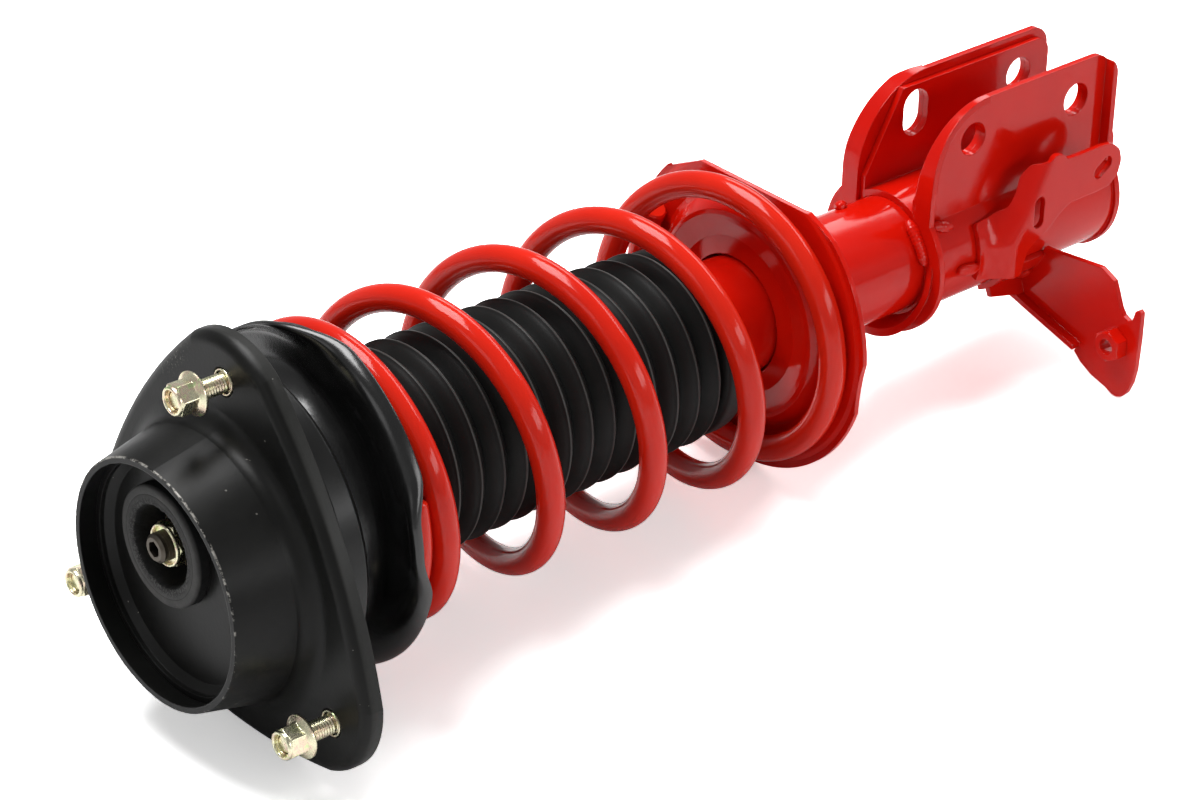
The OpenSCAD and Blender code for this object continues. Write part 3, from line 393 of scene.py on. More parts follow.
def long_hole(a, b, radius):
    """Outline of a hole with round ends about the points a and b."""
    a, b = np.array(a, float), np.array(b, float)
    lie = math.atan2(*(b - a)[::-1])
    turn = np.linspace(0, math.pi, 13)
    ends = [(b, lie - math.pi / 2), (a, lie + math.pi / 2)]
    return np.array([(centre[0] + radius * math.cos(first + t), centre[1] + radius * math.sin(first + t))
                     for centre, first in ends for t in turn])


SENSOR_Y, SADDLE_R, LINE_T = 38, 29.15, 2.6
SENSOR_BEND_Z, BEND_SLANT, BEND_START_X, SWEEP = 441, 0.53, 4.5, 15
SENSOR_HOLE_R, SENSOR_CORNER, SENSOR_GRID = 3.2, 1.8, 1.6


def sensor_form(x, z):
    """The pressing's outer face: a foot on the round shell, a sweep outwards and the flat plate."""
    foot = math.sqrt((SADDLE_R + LINE_T) ** 2 - min(abs(x), 20) ** 2)
    bend = SENSOR_BEND_Z + BEND_SLANT * max(0, x - BEND_START_X)
    t = min(max((bend - z) / SWEEP, 0), 1)
    return Vector((x, SENSOR_Y - (SENSOR_Y - foot) * t * t * (3 - 2 * t), z))


sensor_outline = soft_loop([
    (-11.4, 424), (16.2, 424), (16.8, 433), (20, 441), (26, 444.5), (33, 447.5), (38.4, 452),
    (39.4, 458.5), (42, 461.5), (41, 466.5), (38, 468.5), (37.5, 474), (37.5, 492), (36.6, 498.5),
    (32.5, 503.4), (26.5, 505), (20.5, 503.4), (16.4, 498.5), (15.5, 492), (15.5, 473), (13, 468),
    (6, 459), (2.6, 452), (-1, 447), (-11.4, 444),
], SENSOR_CORNER)
sensor_holes = [long_hole((12.3, 453), (21.1, 453), SENSOR_HOLE_R),
                long_hole((24.9, 490.6), (28.1, 495.4), SENSOR_HOLE_R)]
sensor_plate = pressing("sensor_lead_plate", sensor_outline, sensor_holes, sensor_form,
                        LINE_T, SENSOR_GRID, body_red, "strut")
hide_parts("sensor_bracket")


# ---- Lower spring seat ----
# A pressed dish with one straight side, pushed over the tube onto a support ring and welded
# below. The coil spring's lower end lies in its channel.

dress(body_red, "lower_spring_seat", "seat_support")


# ---- Damper ----
# Everything that works in the oil: the inner cylinder, the valves, the guide and the seal.
# Machined steel, a filled polymer ring and moulded rubber.


def machined(name, colour, roughness):
    """Turned or ground metal with fine rings of tool marks and a film of oil."""
    material, shader, shade = finish(name, Metallic=1.0)
    place = shade.node("TexCoord", {}, {}, out=3)
    marks = shade.speckle(place, 0.8, detail=2.0)
    stain = shade.speckle(place, 14).between(0.35, 0.7)
    feed(
        shade,
        shader,
        Base_Color=stain.mix(colour, tuple(c * 0.82 for c in colour)),
        Roughness=roughness + marks * 0.12,
        Normal=bumped(shade, marks, 0.01, 0.3),
    )
    return material


steel = machined("machined_steel", (0.55, 0.55, 0.56), 0.28)
dress(steel, "inner_cylinder", "base_valve", "rod_guide", "piston", "piston_nut",
      "bearing_outer_race", "bearing_inner_race")


def moulded(name, colour, roughness, grain):
    """Moulded rubber or plastic with a fine matte grain and a little dust."""
    material, shader, shade = finish(name)
    place = shade.node("TexCoord", {}, {}, out=3)
    pores = shade.speckle(place, grain)
    dust = shade.speckle(place, 9).between(0.5, 0.8)
    feed(
        shade,
        shader,
        Base_Color=(dust * 0.35).mix(colour, tuple(min(1, c * 1.6 + 0.01) for c in colour)),
        Roughness=roughness + dust * 0.1,
        Normal=bumped(shade, pores, 0.05, 0.3),
    )
    return material


polymer = moulded("black_polymer", (0.03, 0.03, 0.032), 0.45, 0.6)
rubber = moulded("black_rubber", (0.018, 0.018, 0.019), 0.6, 0.7)
foam = moulded("buff_foam", (0.5, 0.42, 0.24), 0.85, 0.5)
dress(polymer, "piston_ring")
seal = piece("lipped_rod_seal", turned(
    [(10.2, 237.4), (12.4, 237.2), (13, 238.6), (20.6, 238.6), (21.2, 237.2), (22.9, 237.3), (23.1, 238.2),
     (23.1, 243.4), (22.4, 244.1), (14.2, 244.1), (13.6, 242.4), (12.2, 241.6), (10.3, 243.6), (10.1, 242.4),
     (11, 240.6)]), rubber, "strut", loop=True)
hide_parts("rod_seal")


# ---- Piston rod ----
# 20 mm hard chromed rod, turned down to a 12 mm threaded spigot that is left bare and
# has a hexagon socket in its tip. A rubber ring above the piston cushions full rebound.

chrome, shader, shade = finish("hard_chrome", Metallic=1.0)
place = shade.node("TexCoord", {}, {}, out=3)
SPIGOT_END = 40  # where the thread's spigot meets the chromed rod
bare = 1 - place.along().between(SPIGOT_END - 2, SPIGOT_END)
grain = shade.speckle(place, 1.2, detail=2.0)
feed(
    shade,
    shader,
    Base_Color=bare.mix((0.72, 0.72, 0.73), (0.115, 0.1, 0.082)),
    Roughness=0.07 + grain * 0.05 + bare * 0.3,
    Normal=bumped(shade, grain, 0.01, 0.2),
)
dress(chrome, "piston_rod")
bright_steel = machined("ground_steel", (0.7, 0.7, 0.7), 0.08)
dress(bright_steel, "bearing_balls")


def threaded(radius, depth, pitch, start, end, centre=(0, 0), sides=48):
    """Lines along a screw thread with rounded crests, one to each angle."""
    lines = []
    for turn in np.arange(sides) / sides:
        z = np.arange(start, end + 0.01, pitch / 8)
        cut = 0.5 - 0.5 * np.cos(2 * np.pi * (z / pitch - turn))
        fade = np.clip((z - start) / pitch, 0, 1) * np.clip((end - z) / pitch, 0, 1)
        r = radius - depth * (1 - (1 - cut ** 0.8) * fade)
        lines.append(np.stack([centre[0] + r * math.cos(2 * math.pi * turn),
                               centre[1] + r * math.sin(2 * math.pi * turn), z], axis=1))
    return lines


THREAD_PITCH = 1.25
piece("rod_thread", threaded(6.1, 0.5, THREAD_PITCH, 6.9, 13.2), chrome, "rod",
      loop=True, hoop=False, sharp=60)
bumper = piece("rebound_ring", turned(
    [(10.1, 264.8), (10.7, 264.3), (12.9, 264.3), (14, 264.9), (14.4, 266), (14.4, 267.4), (13.8, 268.3),
     (14.4, 269.2), (14.4, 270.8), (13.9, 271.8), (12.9, 272.3), (10.7, 272.3), (10.1, 271.8)]),
    rubber, "rod", loop=True)
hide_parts("rebound_stop")


# ---- Bump stop and dust boot ----
# A foam stop with three waists sits on the rod under the boot. The boot is a moulded bellows
# of black rubber, clipped to the spring seat above and hanging open below.

STOP_START, STOP_END, STOP_R, ROD_R = 42.8, 122, 22, 10
WAIST_DEPTH, WAIST_WIDTH = 3.4, 2.6
waists = [(56 + (STOP_END - 62) / 3 * i) for i in (1, 2, 3)]
stop_outside = [(14, STOP_START), (14, 54), (17, 55.6)]
for z in np.arange(57, STOP_END - 5, 1.0):
    pinch = sum(math.exp(-(((z - w) / WAIST_WIDTH) ** 2)) for w in waists)
    stop_outside.append((STOP_R - WAIST_DEPTH * pinch, z))
stop_outside += [(STOP_R - 0.8, STOP_END - 4), (STOP_R - 4, STOP_END - 1.2), (STOP_R - 7, STOP_END)]
stop = piece("foam_stop", turned([(ROD_R + 0.4, STOP_START), *stop_outside, (ROD_R + 0.6, STOP_END)], 96),
             foam, "rod", loop=True)
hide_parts("bump_stop")

BOOT_R, BOOT_TAPER, RIBS, RIB_DEPTH, RIBS_Z, RIBBED = 45, 3, 16, 5.5, 79, 186
BOOT_TOP, CUFF_END, WALL = 62.15, 277, 1.6
SAG_START, SAG, LAND = 150, 1.8, 0.14
rib = RIBBED / RIBS
# Outside from the top ring to the cuff: each rib is a shallow cone with a narrow moulded
# land on its crest, then a shorter cone back into the next valley.
outside = [(BOOT_R - 3.2, BOOT_TOP), (BOOT_R - 3.2, BOOT_TOP + 7), (BOOT_R - 3.8, BOOT_TOP + 9),
           (BOOT_R - RIB_DEPTH + 0.2, RIBS_Z - 1.4)]
for i in range(RIBS):
    crest = BOOT_R - BOOT_TAPER * i / RIBS
    valley, z = crest - RIB_DEPTH, RIBS_Z + i * rib
    outside += [(valley, z), (valley + 0.5, z + 0.45)]
    outside += [(valley + 0.5 + (RIB_DEPTH - 0.8) * (1 - (1 - t) ** 1.25), z + 0.45 + (rib / 2 - 1.2) * t)
                for t in (0.2, 0.4, 0.6, 0.8, 1.0)]
    top = z + rib / 2
    outside += [(crest, top - 0.55), (crest + LAND, top - 0.35), (crest + LAND, top + 0.35),
                (crest, top + 0.55)]
    outside += [(valley + 0.4 + (RIB_DEPTH - 0.7) * (1 - t) ** 0.85, top + 0.75 + (rib / 2 - 1.3) * t)
                for t in (0.0, 0.3, 0.6, 1.0)]
end_r = BOOT_R - BOOT_TAPER - 1
outside += [(end_r - RIB_DEPTH + 1, 265), (end_r - 1.2, 266), (end_r - 0.3, 267.2), (end_r, 269),
            (end_r, 274.5), (end_r - 0.3, 276.2), (end_r - 1, CUFF_END)]
lining = [(r - WALL, z) for r, z in outside[::-1]]
boot_rings = turned(outside + lining, 168)
# The bellows is soft: its ribs aren't quite round or even, and its free end hangs a little.
for ring in boot_rings:
    for point in ring:
        free = min(1, max(0, (point[2] - SAG_START) / (CUFF_END - SAG_START)))
        point[:2] *= 1 + 0.004 * noise.noise(Vector(point * (0.03, 0.03, 0.06)))
        point[2] += 0.5 * noise.noise(Vector(point * (0.025, 0.025, 0.03)) + Vector((0, 0, 7)))
        point[0] -= SAG * free * free
boot_rubber, shader, shade = finish("boot_rubber", Specular_IOR_Level=0.22)
place = shade.node("TexCoord", {}, {}, out=3)
pores = shade.speckle(place, 0.8)
dust = shade.speckle(place, 22).between(0.45, 0.8)
# The crest attribute paints the lands paler: rubbed wear together with a painted highlight.
crest_wear_and_highlight = shade.node("Attribute", {"attribute_name": "crest"}, {}, out=2)
feed(
    shade,
    shader,
    Base_Color=(crest_wear_and_highlight * 0.55 + dust * 0.06).mix((0.006, 0.006, 0.0058), (0.085, 0.084, 0.08)),
    Roughness=0.44 - crest_wear_and_highlight * 0.06,
    Normal=bumped(shade, pores, 0.03),
)
boot = piece("bellows_boot", boot_rings, boot_rubber, "rod", loop=True, sharp=50)
# Paler crests: the lands are painted paler than the walls, partly as rubbed wear and partly as a painted
# highlight along each crest edge.
on_crest = [1.0 if any(abs(z - (RIBS_Z + (i + 0.5) * rib)) < 0.5 for i in range(RIBS)) else 0.0
            for r, z in outside] + [0.0] * len(lining)
mask = boot.data.attributes.new("crest", "FLOAT", "POINT")
mask.data.foreach_set("value", on_crest * len(boot_rings))
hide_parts("dust_boot")
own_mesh(boot)


# ---- Coil spring ----
# 11.6 mm wire, cold wound, shot peened and powder coated in a lighter glossy red. Its upper
# end is closed, its lower end lies flat, and the open turns between them are even.

SPRING_R, WIRE_R, PITCH, END_PITCH = 60, 5.8, 54, 9.6
UPPER_END, UPPER_RAMP, OPEN_TURNS, LOWER_RAMP, LOWER_END = 0.78, 0.4, 3.5, 0.45, 0.5
TIP_Z, TIP_ANGLE, WIRE_SIDES, LOWER_END_Z = 85.5, 73.6, 28, 306.86
TURNS = UPPER_END + UPPER_RAMP + OPEN_TURNS + LOWER_RAMP + LOWER_END


def spring_climb(t):
    """How far the wire has climbed after t turns: flat ends, even open turns, smooth ramps."""
    pitches = [(0, END_PITCH), (UPPER_END, END_PITCH), (UPPER_END + UPPER_RAMP, PITCH),
               (TURNS - LOWER_END - LOWER_RAMP, PITCH), (TURNS - LOWER_END, 0), (TURNS, 0)]
    climb = 0
    for (a, pa), (b, pb) in zip(pitches, pitches[1:]):
        d = min(max(t - a, 0), b - a)
        climb += pa * d + (pb - pa) * d * d / (2 * (b - a))
    return climb


def spring_line(t):
    turn = math.radians(TIP_ANGLE + 360 * t)
    return np.array([SPRING_R * math.cos(turn), SPRING_R * math.sin(turn), TIP_Z + spring_climb(t)])


wire = []
bite = 0.9 / (2 * math.pi * SPRING_R)
places = [0, 0, bite, *np.linspace(bite * 2, TURNS - bite * 2, int(TURNS * 110)), TURNS - bite, TURNS, TURNS]
widths = [0.02, WIRE_R - 1, WIRE_R - 0.15, *[WIRE_R] * (len(places) - 6), WIRE_R - 0.15, WIRE_R - 1, 0.02]
for t, radius in zip(places, widths):
    ahead = spring_line(t + 0.001) - spring_line(t - 0.001)
    ahead /= np.linalg.norm(ahead)
    out = spring_line(t) * (1, 1, 0) / SPRING_R
    up = np.cross(ahead, out)
    up /= np.linalg.norm(up)
    turn = np.arange(WIRE_SIDES) * 2 * np.pi / WIRE_SIDES
    section = np.outer(np.cos(turn), np.cross(up, ahead)) + np.outer(np.sin(turn), up)
    wire.append(spring_line(t) + radius * section)
coral = red_gloss("coral_red_coat", (0.74, 0.020, 0.007), (0.66, 0.015, 0.005), 0)
spring = piece("wound_spring", wire, coral, "strut")
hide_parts("coil_spring")
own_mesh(spring)


# ---- Upper spring seat ----
# A black pressing between the spring's end coil and the bearing. Its rim steps forward where
# the wire's tip lies, and a rubber pad fills the wedge under the coil.


def black_satin(name, colour, roughness, shine=0.35):
    material, shader, shade = finish(name, Specular_IOR_Level=shine)
    place = shade.node("TexCoord", {}, {}, out=3)
    cloud = shade.speckle(place, 30).between(0.3, 0.75)
    peel = shade.speckle(place, 1.6, detail=2.0)
    feed(
        shade,
        shader,
        Base_Color=cloud.mix(colour, tuple(c * 1.5 for c in colour)),
        Roughness=roughness + cloud * 0.08,
        Normal=bumped(shade, peel, 0.03, 0.7),
    )
    return material


mount_black = black_satin("satin_black_coat", (0.007, 0.007, 0.0068), 0.3)


def rounded(profile, steps=4):
    """A closed profile of (radius, z, follow, cut), its corners turned to arcs.

    Each arc starts cut mm before its corner. follow says how far the point moves with the rim.
    """
    corners = np.asarray(profile, float)
    arcs = []
    for before, corner, after in zip(np.roll(corners, 1, axis=0), corners, np.roll(corners, -1, axis=0)):
        back, ahead = before - corner, after - corner
        reach_back, reach_ahead = np.hypot(*back[:2]), np.hypot(*ahead[:2])
        start = corner + back * min(corner[3] / reach_back, 0.48)
        end = corner + ahead * min(corner[3] / reach_ahead, 0.48)
        arcs += [start * (1 - t) ** 2 + corner * 2 * t * (1 - t) + end * t * t
                 for t in np.linspace(0, 1, steps + 1)]
    return np.array(arcs)[:, :3]


def ease(t):
    t = min(max(t, 0), 1)
    return t * t * (3 - 2 * t)


def rises(turn, start, end):
    return ease((turn - start) / (end - start))


# The rim reaches forward on the side where the wire's tip lies, and dips once more below it.
SEAT_R, SEAT_RIM, CROWN, SEAT_T = 74.6, 83.5, 75.1, 2.5
perch_profile = rounded([
    (6.05, 40, 0, 0.3), (17, 40, 0, 2), (19.5, 46, 0, 3), (44, 60, 0, 5), (50, CROWN - 5, 0, 3),
    (55, CROWN, 0, 4), (66.2, CROWN, 0, 4.5), (SEAT_R - 2.5, CROWN + 2.2, 0.7, 2.6),
    (SEAT_R, SEAT_RIM - 3, 1, 1.8), (SEAT_R, SEAT_RIM, 1, 0.9), (SEAT_R - SEAT_T, SEAT_RIM, 1, 0.9),
    (SEAT_R - SEAT_T - 2, CROWN + SEAT_T + 2, 0.6, 2),
    (65.8, CROWN + SEAT_T, 0, 3), (54, CROWN + SEAT_T, 0, 3), (48, CROWN - 3.1, 0, 3), (41.6, 61.6, 0, 3),
    (17, 47, 0, 2), (14.5, 42.5, 0, 1), (6.05, 42.5, 0, 0.3),
])
perch_rings = []
STEP_AT, STEP_FORWARD, STEP_DRAWN, DIP_FORWARD = -64, 12.5, 6.5, 5.4
for turn in np.arange(300) * 1.2 + STEP_AT:
    step = rises(turn, STEP_AT, -42)
    dip = rises(turn, 62, 78) * (1 - rises(turn, 88, 104))
    forward = -STEP_FORWARD * step * (1 - rises(turn, -8, 20)) - DIP_FORWARD * dip
    drawn = -STEP_DRAWN * step * (1 - rises(turn, -34, 2))
    r = perch_profile[:, 0] + drawn * perch_profile[:, 2]
    z = perch_profile[:, 1] + forward * perch_profile[:, 2]
    turn = math.radians(turn)
    perch_rings.append(np.stack([r * math.cos(turn), r * math.sin(turn), z], axis=1))
perch_black = black_satin("gloss_black_coat", (0.006, 0.006, 0.006), 0.2, 0.8)
perch = piece("spring_perch", perch_rings, perch_black, "rod", loop=True, sharp=60)
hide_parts("upper_spring_seat")

# A rubber pad fills the wedge between the perch and the wire's flat end.
pad_rings = []
PAD_IN, PAD_OUT, PAD_FLOOR, PAD_FACE, WEDGE = 54.4, 65.6, 77.9, 79.4, 0.81
for t in np.arange(200) / 200:
    lift = END_PITCH * (t if t < WEDGE else WEDGE * (1 - ease((t - WEDGE) / (1 - WEDGE))))
    section = rounded([(PAD_IN, PAD_FLOOR, 0, 0.5), (PAD_OUT, PAD_FLOOR, 0, 0.5),
                       (PAD_OUT, PAD_FACE + lift, 0, 0.6), (PAD_IN, PAD_FACE + lift, 0, 0.6)])
    turn = math.radians(TIP_ANGLE + 360 * t)
    r, z = section[:, 0], section[:, 1]
    pad_rings.append(np.stack([r * math.cos(turn), r * math.sin(turn), z], axis=1))
pad = piece("coil_pad", pad_rings, rubber, "rod", loop=True)
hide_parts("upper_spring_pad")


# ---- Top mount ----
# Pressed cup with a three-cornered flange, and the pan and drum inside it, all coated in satin
# black that has rubbed through on the cup's rim and on one folded corner of the flange.

CUP_X, CUP_Y, CUP_R, FLANGE_Z = -10.2, 7.7, 51.7, 32.7
plate_coat, shader, shade = finish("worn_black_coat", Specular_IOR_Level=0.2)
place = shade.node("TexCoord", {}, {}, out=3)
cloud = shade.speckle(place, 30).between(0.3, 0.75)
peel = shade.speckle(place, 1.6, detail=2.0)
depth = place.along()
out_r = place.off_axis(CUP_X, CUP_Y)
up = place.along(ears_up)
rim = (1 - depth.between(0.15, 0.9)) * out_r.between(CUP_R - 0.75, CUP_R - 0.35)
rubbed = shade.speckle(place, 3.2, detail=5.0, roughness=0.7)
rim_wear = rim * (rubbed + up.between(-40, 40) * 0.14).between(0.58, 0.7) * 0.8
SCRAPE_R, SCRAPE_AT = 92, math.radians(-24)
corner = strut @ Vector((
    CUP_X + SCRAPE_R * math.cos(SCRAPE_AT), CUP_Y + SCRAPE_R * math.sin(SCRAPE_AT), FLANGE_Z + 3,
))
faces = shade.node("TexCoord", {}, {}, out=1)
lies = shade.node("VectorMath", {"operation": "DOT_PRODUCT"}, {0: faces, 1: rod_axis}, out=1)
wall = 1 - lies.math("ABSOLUTE", lies).between(0.2, 0.5)
# The outer wall of the flange's fold is painted a lighter black: a painted sheen, made uneven by the rubbing
# noise.
fold_sheen = wall * depth.between(FLANGE_Z + 1, FLANGE_Z + 3) * out_r.between(60, 64)
near = shade.node("VectorMath", {"operation": "DISTANCE"}, {0: place, 1: corner}, out=1) * 1000
grit = shade.speckle(place, 1.1, detail=6.0, roughness=0.8).between(0.57, 0.62)
scraped = (1 - near.between(6, 22)) * grit
specks = shade.speckle(place, 2.4, detail=0.0).between(0.87, 0.9)
worn = rim_wear + scraped * 0.8 + specks * 0.35
wear = worn.math("MINIMUM", worn, 1.0)
satin = cloud.mix((0.007, 0.007, 0.0067), (0.011, 0.011, 0.0104))
# Here the fold's painted sheen lightens the satin black.
satin = (fold_sheen * (0.6 + rubbed * 0.4)).mix(satin, (0.03, 0.03, 0.0285))
feed(
    shade,
    shader,
    Base_Color=wear.mix(satin, (0.5, 0.48, 0.44)),
    Roughness=0.31 + cloud * 0.07 + rubbed * 0.06,
    Metallic=wear * 0.6,
    Normal=bumped(shade, peel + wear * 0.8, 0.03, 0.6),
)
dress(plate_coat, "mount_plate", "mount_pan")
dress(mount_black, "mount_lower_shell")

# The bonded rubber: a block behind the pan, and the collar of the rod nut's well, whose
# inner edge keeps the ragged flash of its mould.
WELL_R, COLLAR_R, COLLAR_Z, SEAM_R = 16.7, 25, 8.5, 21.4
mount_rubber, shader, shade = finish("bonded_rubber", Specular_IOR_Level=0.3)
place = shade.node("TexCoord", {}, {}, out=3)
radius = place.off_axis()
pores = shade.speckle(place, 0.9)
torn = shade.speckle(place, 1.9, detail=6.0, roughness=0.75)
dust = shade.speckle(place, 6).between(0.35, 0.75)
swing = torn - 0.5
flecks = swing.math("ABSOLUTE", swing) * 9
# The inner part of the collar's face is painted darker in streaks, up to a torn edge.
inner = 1 - (radius + torn * 3).between(20.2, 22.6)
dark = (inner * (1 - flecks).between(0.35, 0.9)) * 0.85
# The well, the collar's side and the block behind the pan, all deeper than the collar's face, are painted
# near black: painted shade.
well_and_side_shade = 1 - radius.between(WELL_R + 0.2, WELL_R + 0.9) + place.along().between(9.2, 10.5)
off_seam = radius - SEAM_R
seam = (1 - off_seam.math("ABSOLUTE", off_seam).between(0.05, 0.22)) * 0.5
# The darker streaks, the darker mould seam and the painted shade, together.
marks_and_shade_sum = dark + seam + well_and_side_shade
marks_and_shade = marks_and_shade_sum.math("MINIMUM", marks_and_shade_sum, 1.0)
feed(
    shade,
    shader,
    Base_Color=marks_and_shade.mix(dust.mix((0.062, 0.061, 0.060), (0.088, 0.086, 0.083)), (0.006, 0.006, 0.006)),
    Roughness=0.7 + dust * 0.1,
    Normal=bumped(shade, torn + pores * 0.4, 0.22),
)
collar_lines = []
for turn in np.arange(360) * math.pi / 180:
    at = Vector((math.cos(turn) * 9, math.sin(turn) * 9, 0.5))
    tags = 0.5 * max(0, noise.noise(at * 2.3) - 0.1) - 0.9 * max(0, noise.noise(at * 1.1) - 0.25)
    ragged = 0.55 * noise.noise(at) + tags
    profile = [
        (WELL_R, 23), (WELL_R, 12.5), (WELL_R - 0.2, 10.8),
        (WELL_R + 0.5 - ragged, 9.3 + 0.3 * ragged), (WELL_R + 0.9 - ragged, 8.75),
        (WELL_R + 1.7 - 0.6 * ragged, COLLAR_Z + 0.1), (19.4, COLLAR_Z + 0.05 * ragged),
        (SEAM_R - 0.2, COLLAR_Z), (SEAM_R, COLLAR_Z + 0.12), (SEAM_R + 0.2, COLLAR_Z),
        (23.9, COLLAR_Z), (24.6, 8.75), (COLLAR_R, 9.5), (COLLAR_R, 25.9), (WELL_R + 3, 25.9),
    ]
    collar_lines.append([(r * math.cos(turn), r * math.sin(turn), z) for r, z in profile])
collar = piece("well_collar", collar_lines, mount_rubber, "top_mount", loop=True, sharp=45)
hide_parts("rubber_collar")
bush_profile = rounded([
    (25.05, 16.65, 0, 0.2), (33.6, 16.65, 0, 1.4), (35.6, 18.7, 0, 1.4), (35.6, 25, 0, 1), (34.7, 27, 0, 1.2),
    (34.7, 33, 0, 1.2), (35.6, 35, 0, 1), (35.6, 41, 0, 0.6), (34.6, 42, 0, 0.6), (31, 42, 0, 0.6),
    (30.05, 41, 0, 0.5), (30.05, 25.95, 0, 0.1), (25.05, 25.95, 0, 0.1),
])
bush = piece("bonded_bush", turned(bush_profile[:, :2]), mount_rubber, "top_mount", loop=True)
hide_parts("mount_rubber")


# ---- Studs and nuts ----
# M8 studs pressed through the flange from behind, flange nuts part-way on, and the rod's lock
# nut, all in yellow chromate zinc that shines pink and green.

zinc, shader, shade = finish("yellow_chromate_zinc", Metallic=1.0)
place = shade.node("TexCoord", {}, {}, out=3)
film = shade.speckle(place, 7, detail=2.0)
tints = [
    (0.30, (0.74, 0.76, 0.46)), (0.42, (0.95, 0.91, 0.66)), (0.50, (0.96, 0.88, 0.62)),
    (0.56, (0.94, 0.72, 0.58)), (0.62, (0.90, 0.90, 0.56)), (0.70, (0.66, 0.84, 0.42)),
    (0.78, (0.96, 0.95, 0.84)),
]
thickness = film + shade.speckle(place, 1.4) * 0.25 - 0.12
tint = shade.node("ValToRGB", {"stops": tints}, {0: thickness})
scuffs = shade.speckle(place, 0.7, detail=4.0)
feed(shade, shader, Base_Color=tint, Roughness=0.2 + scuffs * 0.16, Normal=bumped(shade, scuffs, 0.02))


def nut_lines(front, height, flats, collar, recess, bore, flange=0.0, centre=(0, 0), twist=0.0, sides=144):
    """Lines of a hexagon nut, one to each angle: rolled collar in front, flats, flange behind."""
    sharpness = 44  # how close the blended section comes to a true hexagon
    face = front + 1.5
    skirt = front + height - 3.3 if flange else front + height
    lines = []
    for turn in np.arange(sides) * 2 * math.pi / sides:
        swing = turn + math.radians(twist)
        toward_flats = [max(0, math.cos(swing - k * math.pi / 3)) ** sharpness for k in range(6)]
        reach = sum(toward_flats) ** (1 / sharpness)
        flat = flats / 2 / reach
        line = [
            (recess - 0.25, front + 1.9), (recess, front + 1.4), (recess, front + 0.7),
            (recess + 0.15, front + 0.25), (recess + 0.5, front + 0.02), (collar - 0.55, front + 0.05),
            (collar - 0.15, front + 0.35), (collar, front + 0.9), (collar, face - 0.12),
        ]
        for z in np.arange(face, front + height - (1.4 if flange else 0.0) + 0.01, 0.2):
            chamfered = min(flat, flats / 2 + 0.1 + (z - face) * 1.75)
            cone = flats / 2 - 0.4 + max(0, z - skirt) * 1.62 if flange else 0
            if not flange:
                chamfered = min(chamfered, flats / 2 + 0.2 + (front + height - z) * 1.75)
            line.append((min(max(chamfered, cone), max(flange, flat)), z))
        if flange:
            end = front + height
            line += [(flange, end - 1.3), (flange + 0.02, end - 0.8),
                     (flange - 0.1, end - 0.35), (flange - 0.5, end)]
        line += [(bore + 0.4, front + height), (bore, front + height - 0.4), (bore, front + 1.9)]
        lines.append([(centre[0] + r * math.cos(turn), centre[1] + r * math.sin(turn), z) for r, z in line])
    return lines


STUD_CIRCLE, MOUNT_CLOCK = 78.4, 2.5
stud_turns = [math.radians(MOUNT_CLOCK + a) for a in (0, 120, 240)]
stud_places = [(CUP_X + STUD_CIRCLE * math.cos(turn), CUP_Y + STUD_CIRCLE * math.sin(turn))
               for turn in stud_turns]
nut_skins = [nut_lines(8.7, 11.1, 12, 5.9, 4.35, 3.85, flange=8.9, centre=at, twist=turn)
             for at, turn in zip(stud_places, (12, 41, 25))]
nuts = piece("collared_flange_nuts", nut_skins, zinc, "top_mount", loop=True, sharp=50)
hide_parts("flange_nuts")
stud_lines = []
for at in stud_places:
    lines = []
    for line in threaded(4.0, 0.42, THREAD_PITCH, 11.2, 32.9, at):
        side = (line[0, :2] - at) / np.linalg.norm(line[0, :2] - at)
        ends = [[(*(at + side * r), z) for r, z in part] for part in (
            [(0.02, 10.4), (2.9, 10.4), (3.3, 10.6)],
            [(4.55, 33.3), (4.6, 35.3), (7.1, 35.3), (7.5, 35.7), (7.5, 37.8), (7.1, 38.3),
             (0.02, 38.3)])]
        lines.append([*ends[0], *line, *ends[1]])
    stud_lines.append(lines)
studs = piece("threaded_studs", stud_lines, zinc, "top_mount",
              loop=True, hoop=False, sharp=60)
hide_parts("mount_studs")
ring_profile = [(4.75, 32.5), (4.9, 32.35), (5.2, 32.3), (5.45, 32.45), (5.5, 32.72), (4.75, 32.72)]
piece("stud_hole_rings", [turned(ring_profile, 64, at) for at in stud_places], zinc,
      "top_mount", loop=True, sharp=50)
lock_nut = piece("rod_lock_nut", [nut_lines(10.3, 10.7, 16.6, 8.9, 7.7, 6.15, twist=8)], zinc,
                 "rod", loop=True, sharp=50)
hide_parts("rod_nut")
dress(zinc, "rod_washer")


# ---- Floor, light and camera ----
# A plain pale floor, a large soft lamp overhead and three weaker ones.
# The camera sees the floor and the backdrop as overexposed white that still holds shadows.

FLOOR_HALF, FLOOR_Z = 6, -0.0005
floor_mesh = bpy.data.meshes.new("floor")
corners = [(x * FLOOR_HALF, y * FLOOR_HALF, FLOOR_Z) for x, y in ((-1, -1), (1, -1), (1, 1), (-1, 1))]
floor_mesh.from_pydata(corners, [], [(0, 1, 2, 3)])
floor = bpy.data.objects.new("floor", floor_mesh)
bpy.context.scene.collection.objects.link(floor)
PAPER, EXPOSED, GLOWING, MIRRORED = 0.85, 2.4, 0.4, 0.1
paper, shader, shade = finish("white_floor")


def camera_and_mirrors(shade):
    """Light Path's camera ray, and its glossy and transmission rays at the mirrored share."""
    seen = shade.node("LightPath", {}, {})
    glossy, through = (shade.node("LightPath", {}, {}, out=out) for out in (3, 6))
    return seen, (glossy + through) * MIRRORED


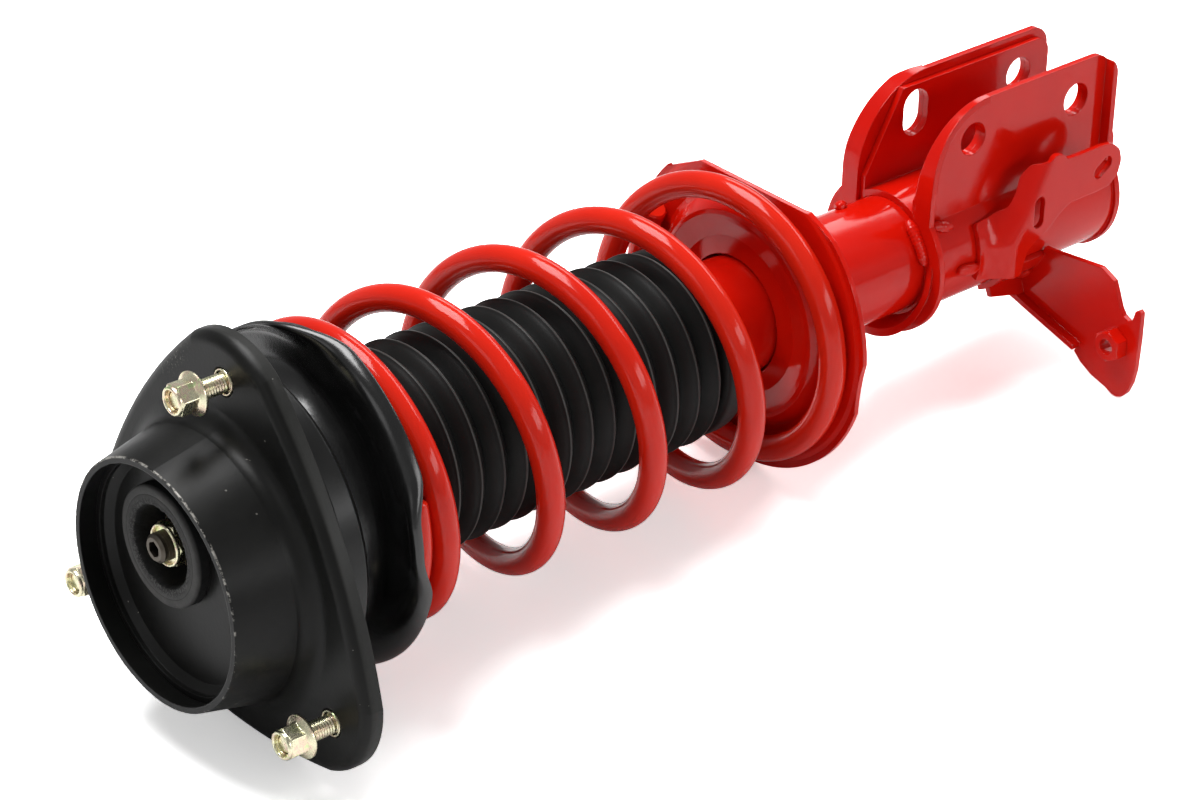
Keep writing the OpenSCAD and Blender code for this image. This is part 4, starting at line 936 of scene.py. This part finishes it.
seen, mirrored = camera_and_mirrors(shade)
bright = shade.node("BsdfDiffuse", {}, {"Color": seen * EXPOSED + mirrored + PAPER})
glow = shade.node("Emission", {}, {"Color": (1, 1, 1, 1), "Strength": 1.0})
laid = shade.node("MixShader", {}, {0: seen * GLOWING, 1: bright, 2: glow})
shade.tree.links.new(laid.socket, shade.tree.nodes["Material Output"].inputs["Surface"])
floor_mesh.materials.append(paper)

world = bpy.data.worlds.new("studio")
bpy.context.scene.world = world
world.use_nodes = True
sky = Shade(world.node_tree)
SKY, SKY_FALL = 0.36, 0.22
height = sky.node("SeparateXYZ", {}, {0: sky.node("TexCoord", {}, {}, out=0)}, out=2)
seen, mirrored = camera_and_mirrors(sky)
strength = seen + mirrored - height.between(-0.05, 0.5) * SKY_FALL + SKY
backdrop = sky.node("Background", {}, {"Color": (1, 1, 1, 1), "Strength": strength})
world.node_tree.links.new(backdrop.socket, world.node_tree.nodes["World Output"].inputs["Surface"])


def soft_lamp(name, place, aim, size, power):
    lamp = bpy.data.lights.new(name, "AREA")
    lamp.shape = "RECTANGLE"
    lamp.size, lamp.size_y = size
    lamp.energy = power
    stand = bpy.data.objects.new(name, lamp)
    stand.location = place
    stand.rotation_euler = (Vector(aim) - Vector(place)).to_track_quat("-Z", "Y").to_euler()
    bpy.context.scene.collection.objects.link(stand)


soft_lamp("overhead_lamp", (-0.15, 0.4, 1.5), (0, 0, 0), (1.2, 0.7), 26)
soft_lamp("right_lamp", (1.3, 0.3, 1.0), (0, 0, 0.05), (1.8, 0.4), 9)
soft_lamp("near_right_lamp", (0.45, -1.5, 0.6), (-0.1, 0, 0.08), (1.4, 0.35), 6)
soft_lamp("front_lamp", (-1.9, -0.2, 1.1), (-0.1, 0, 0.05), (0.9, 0.7), 2)

lens = bpy.data.cameras.new("camera")
lens.lens = 116.78
lens.sensor_width = 36
camera = bpy.data.objects.new("camera", lens)
camera.location = (-0.92768, -1.04209, 0.89473)
camera.rotation_euler = [math.radians(a) for a in (58.8770, 0.8454, -41.2014)]
bpy.context.scene.collection.objects.link(camera)
bpy.context.scene.camera = camera
bpy.context.scene.view_settings.view_transform = "Standard"
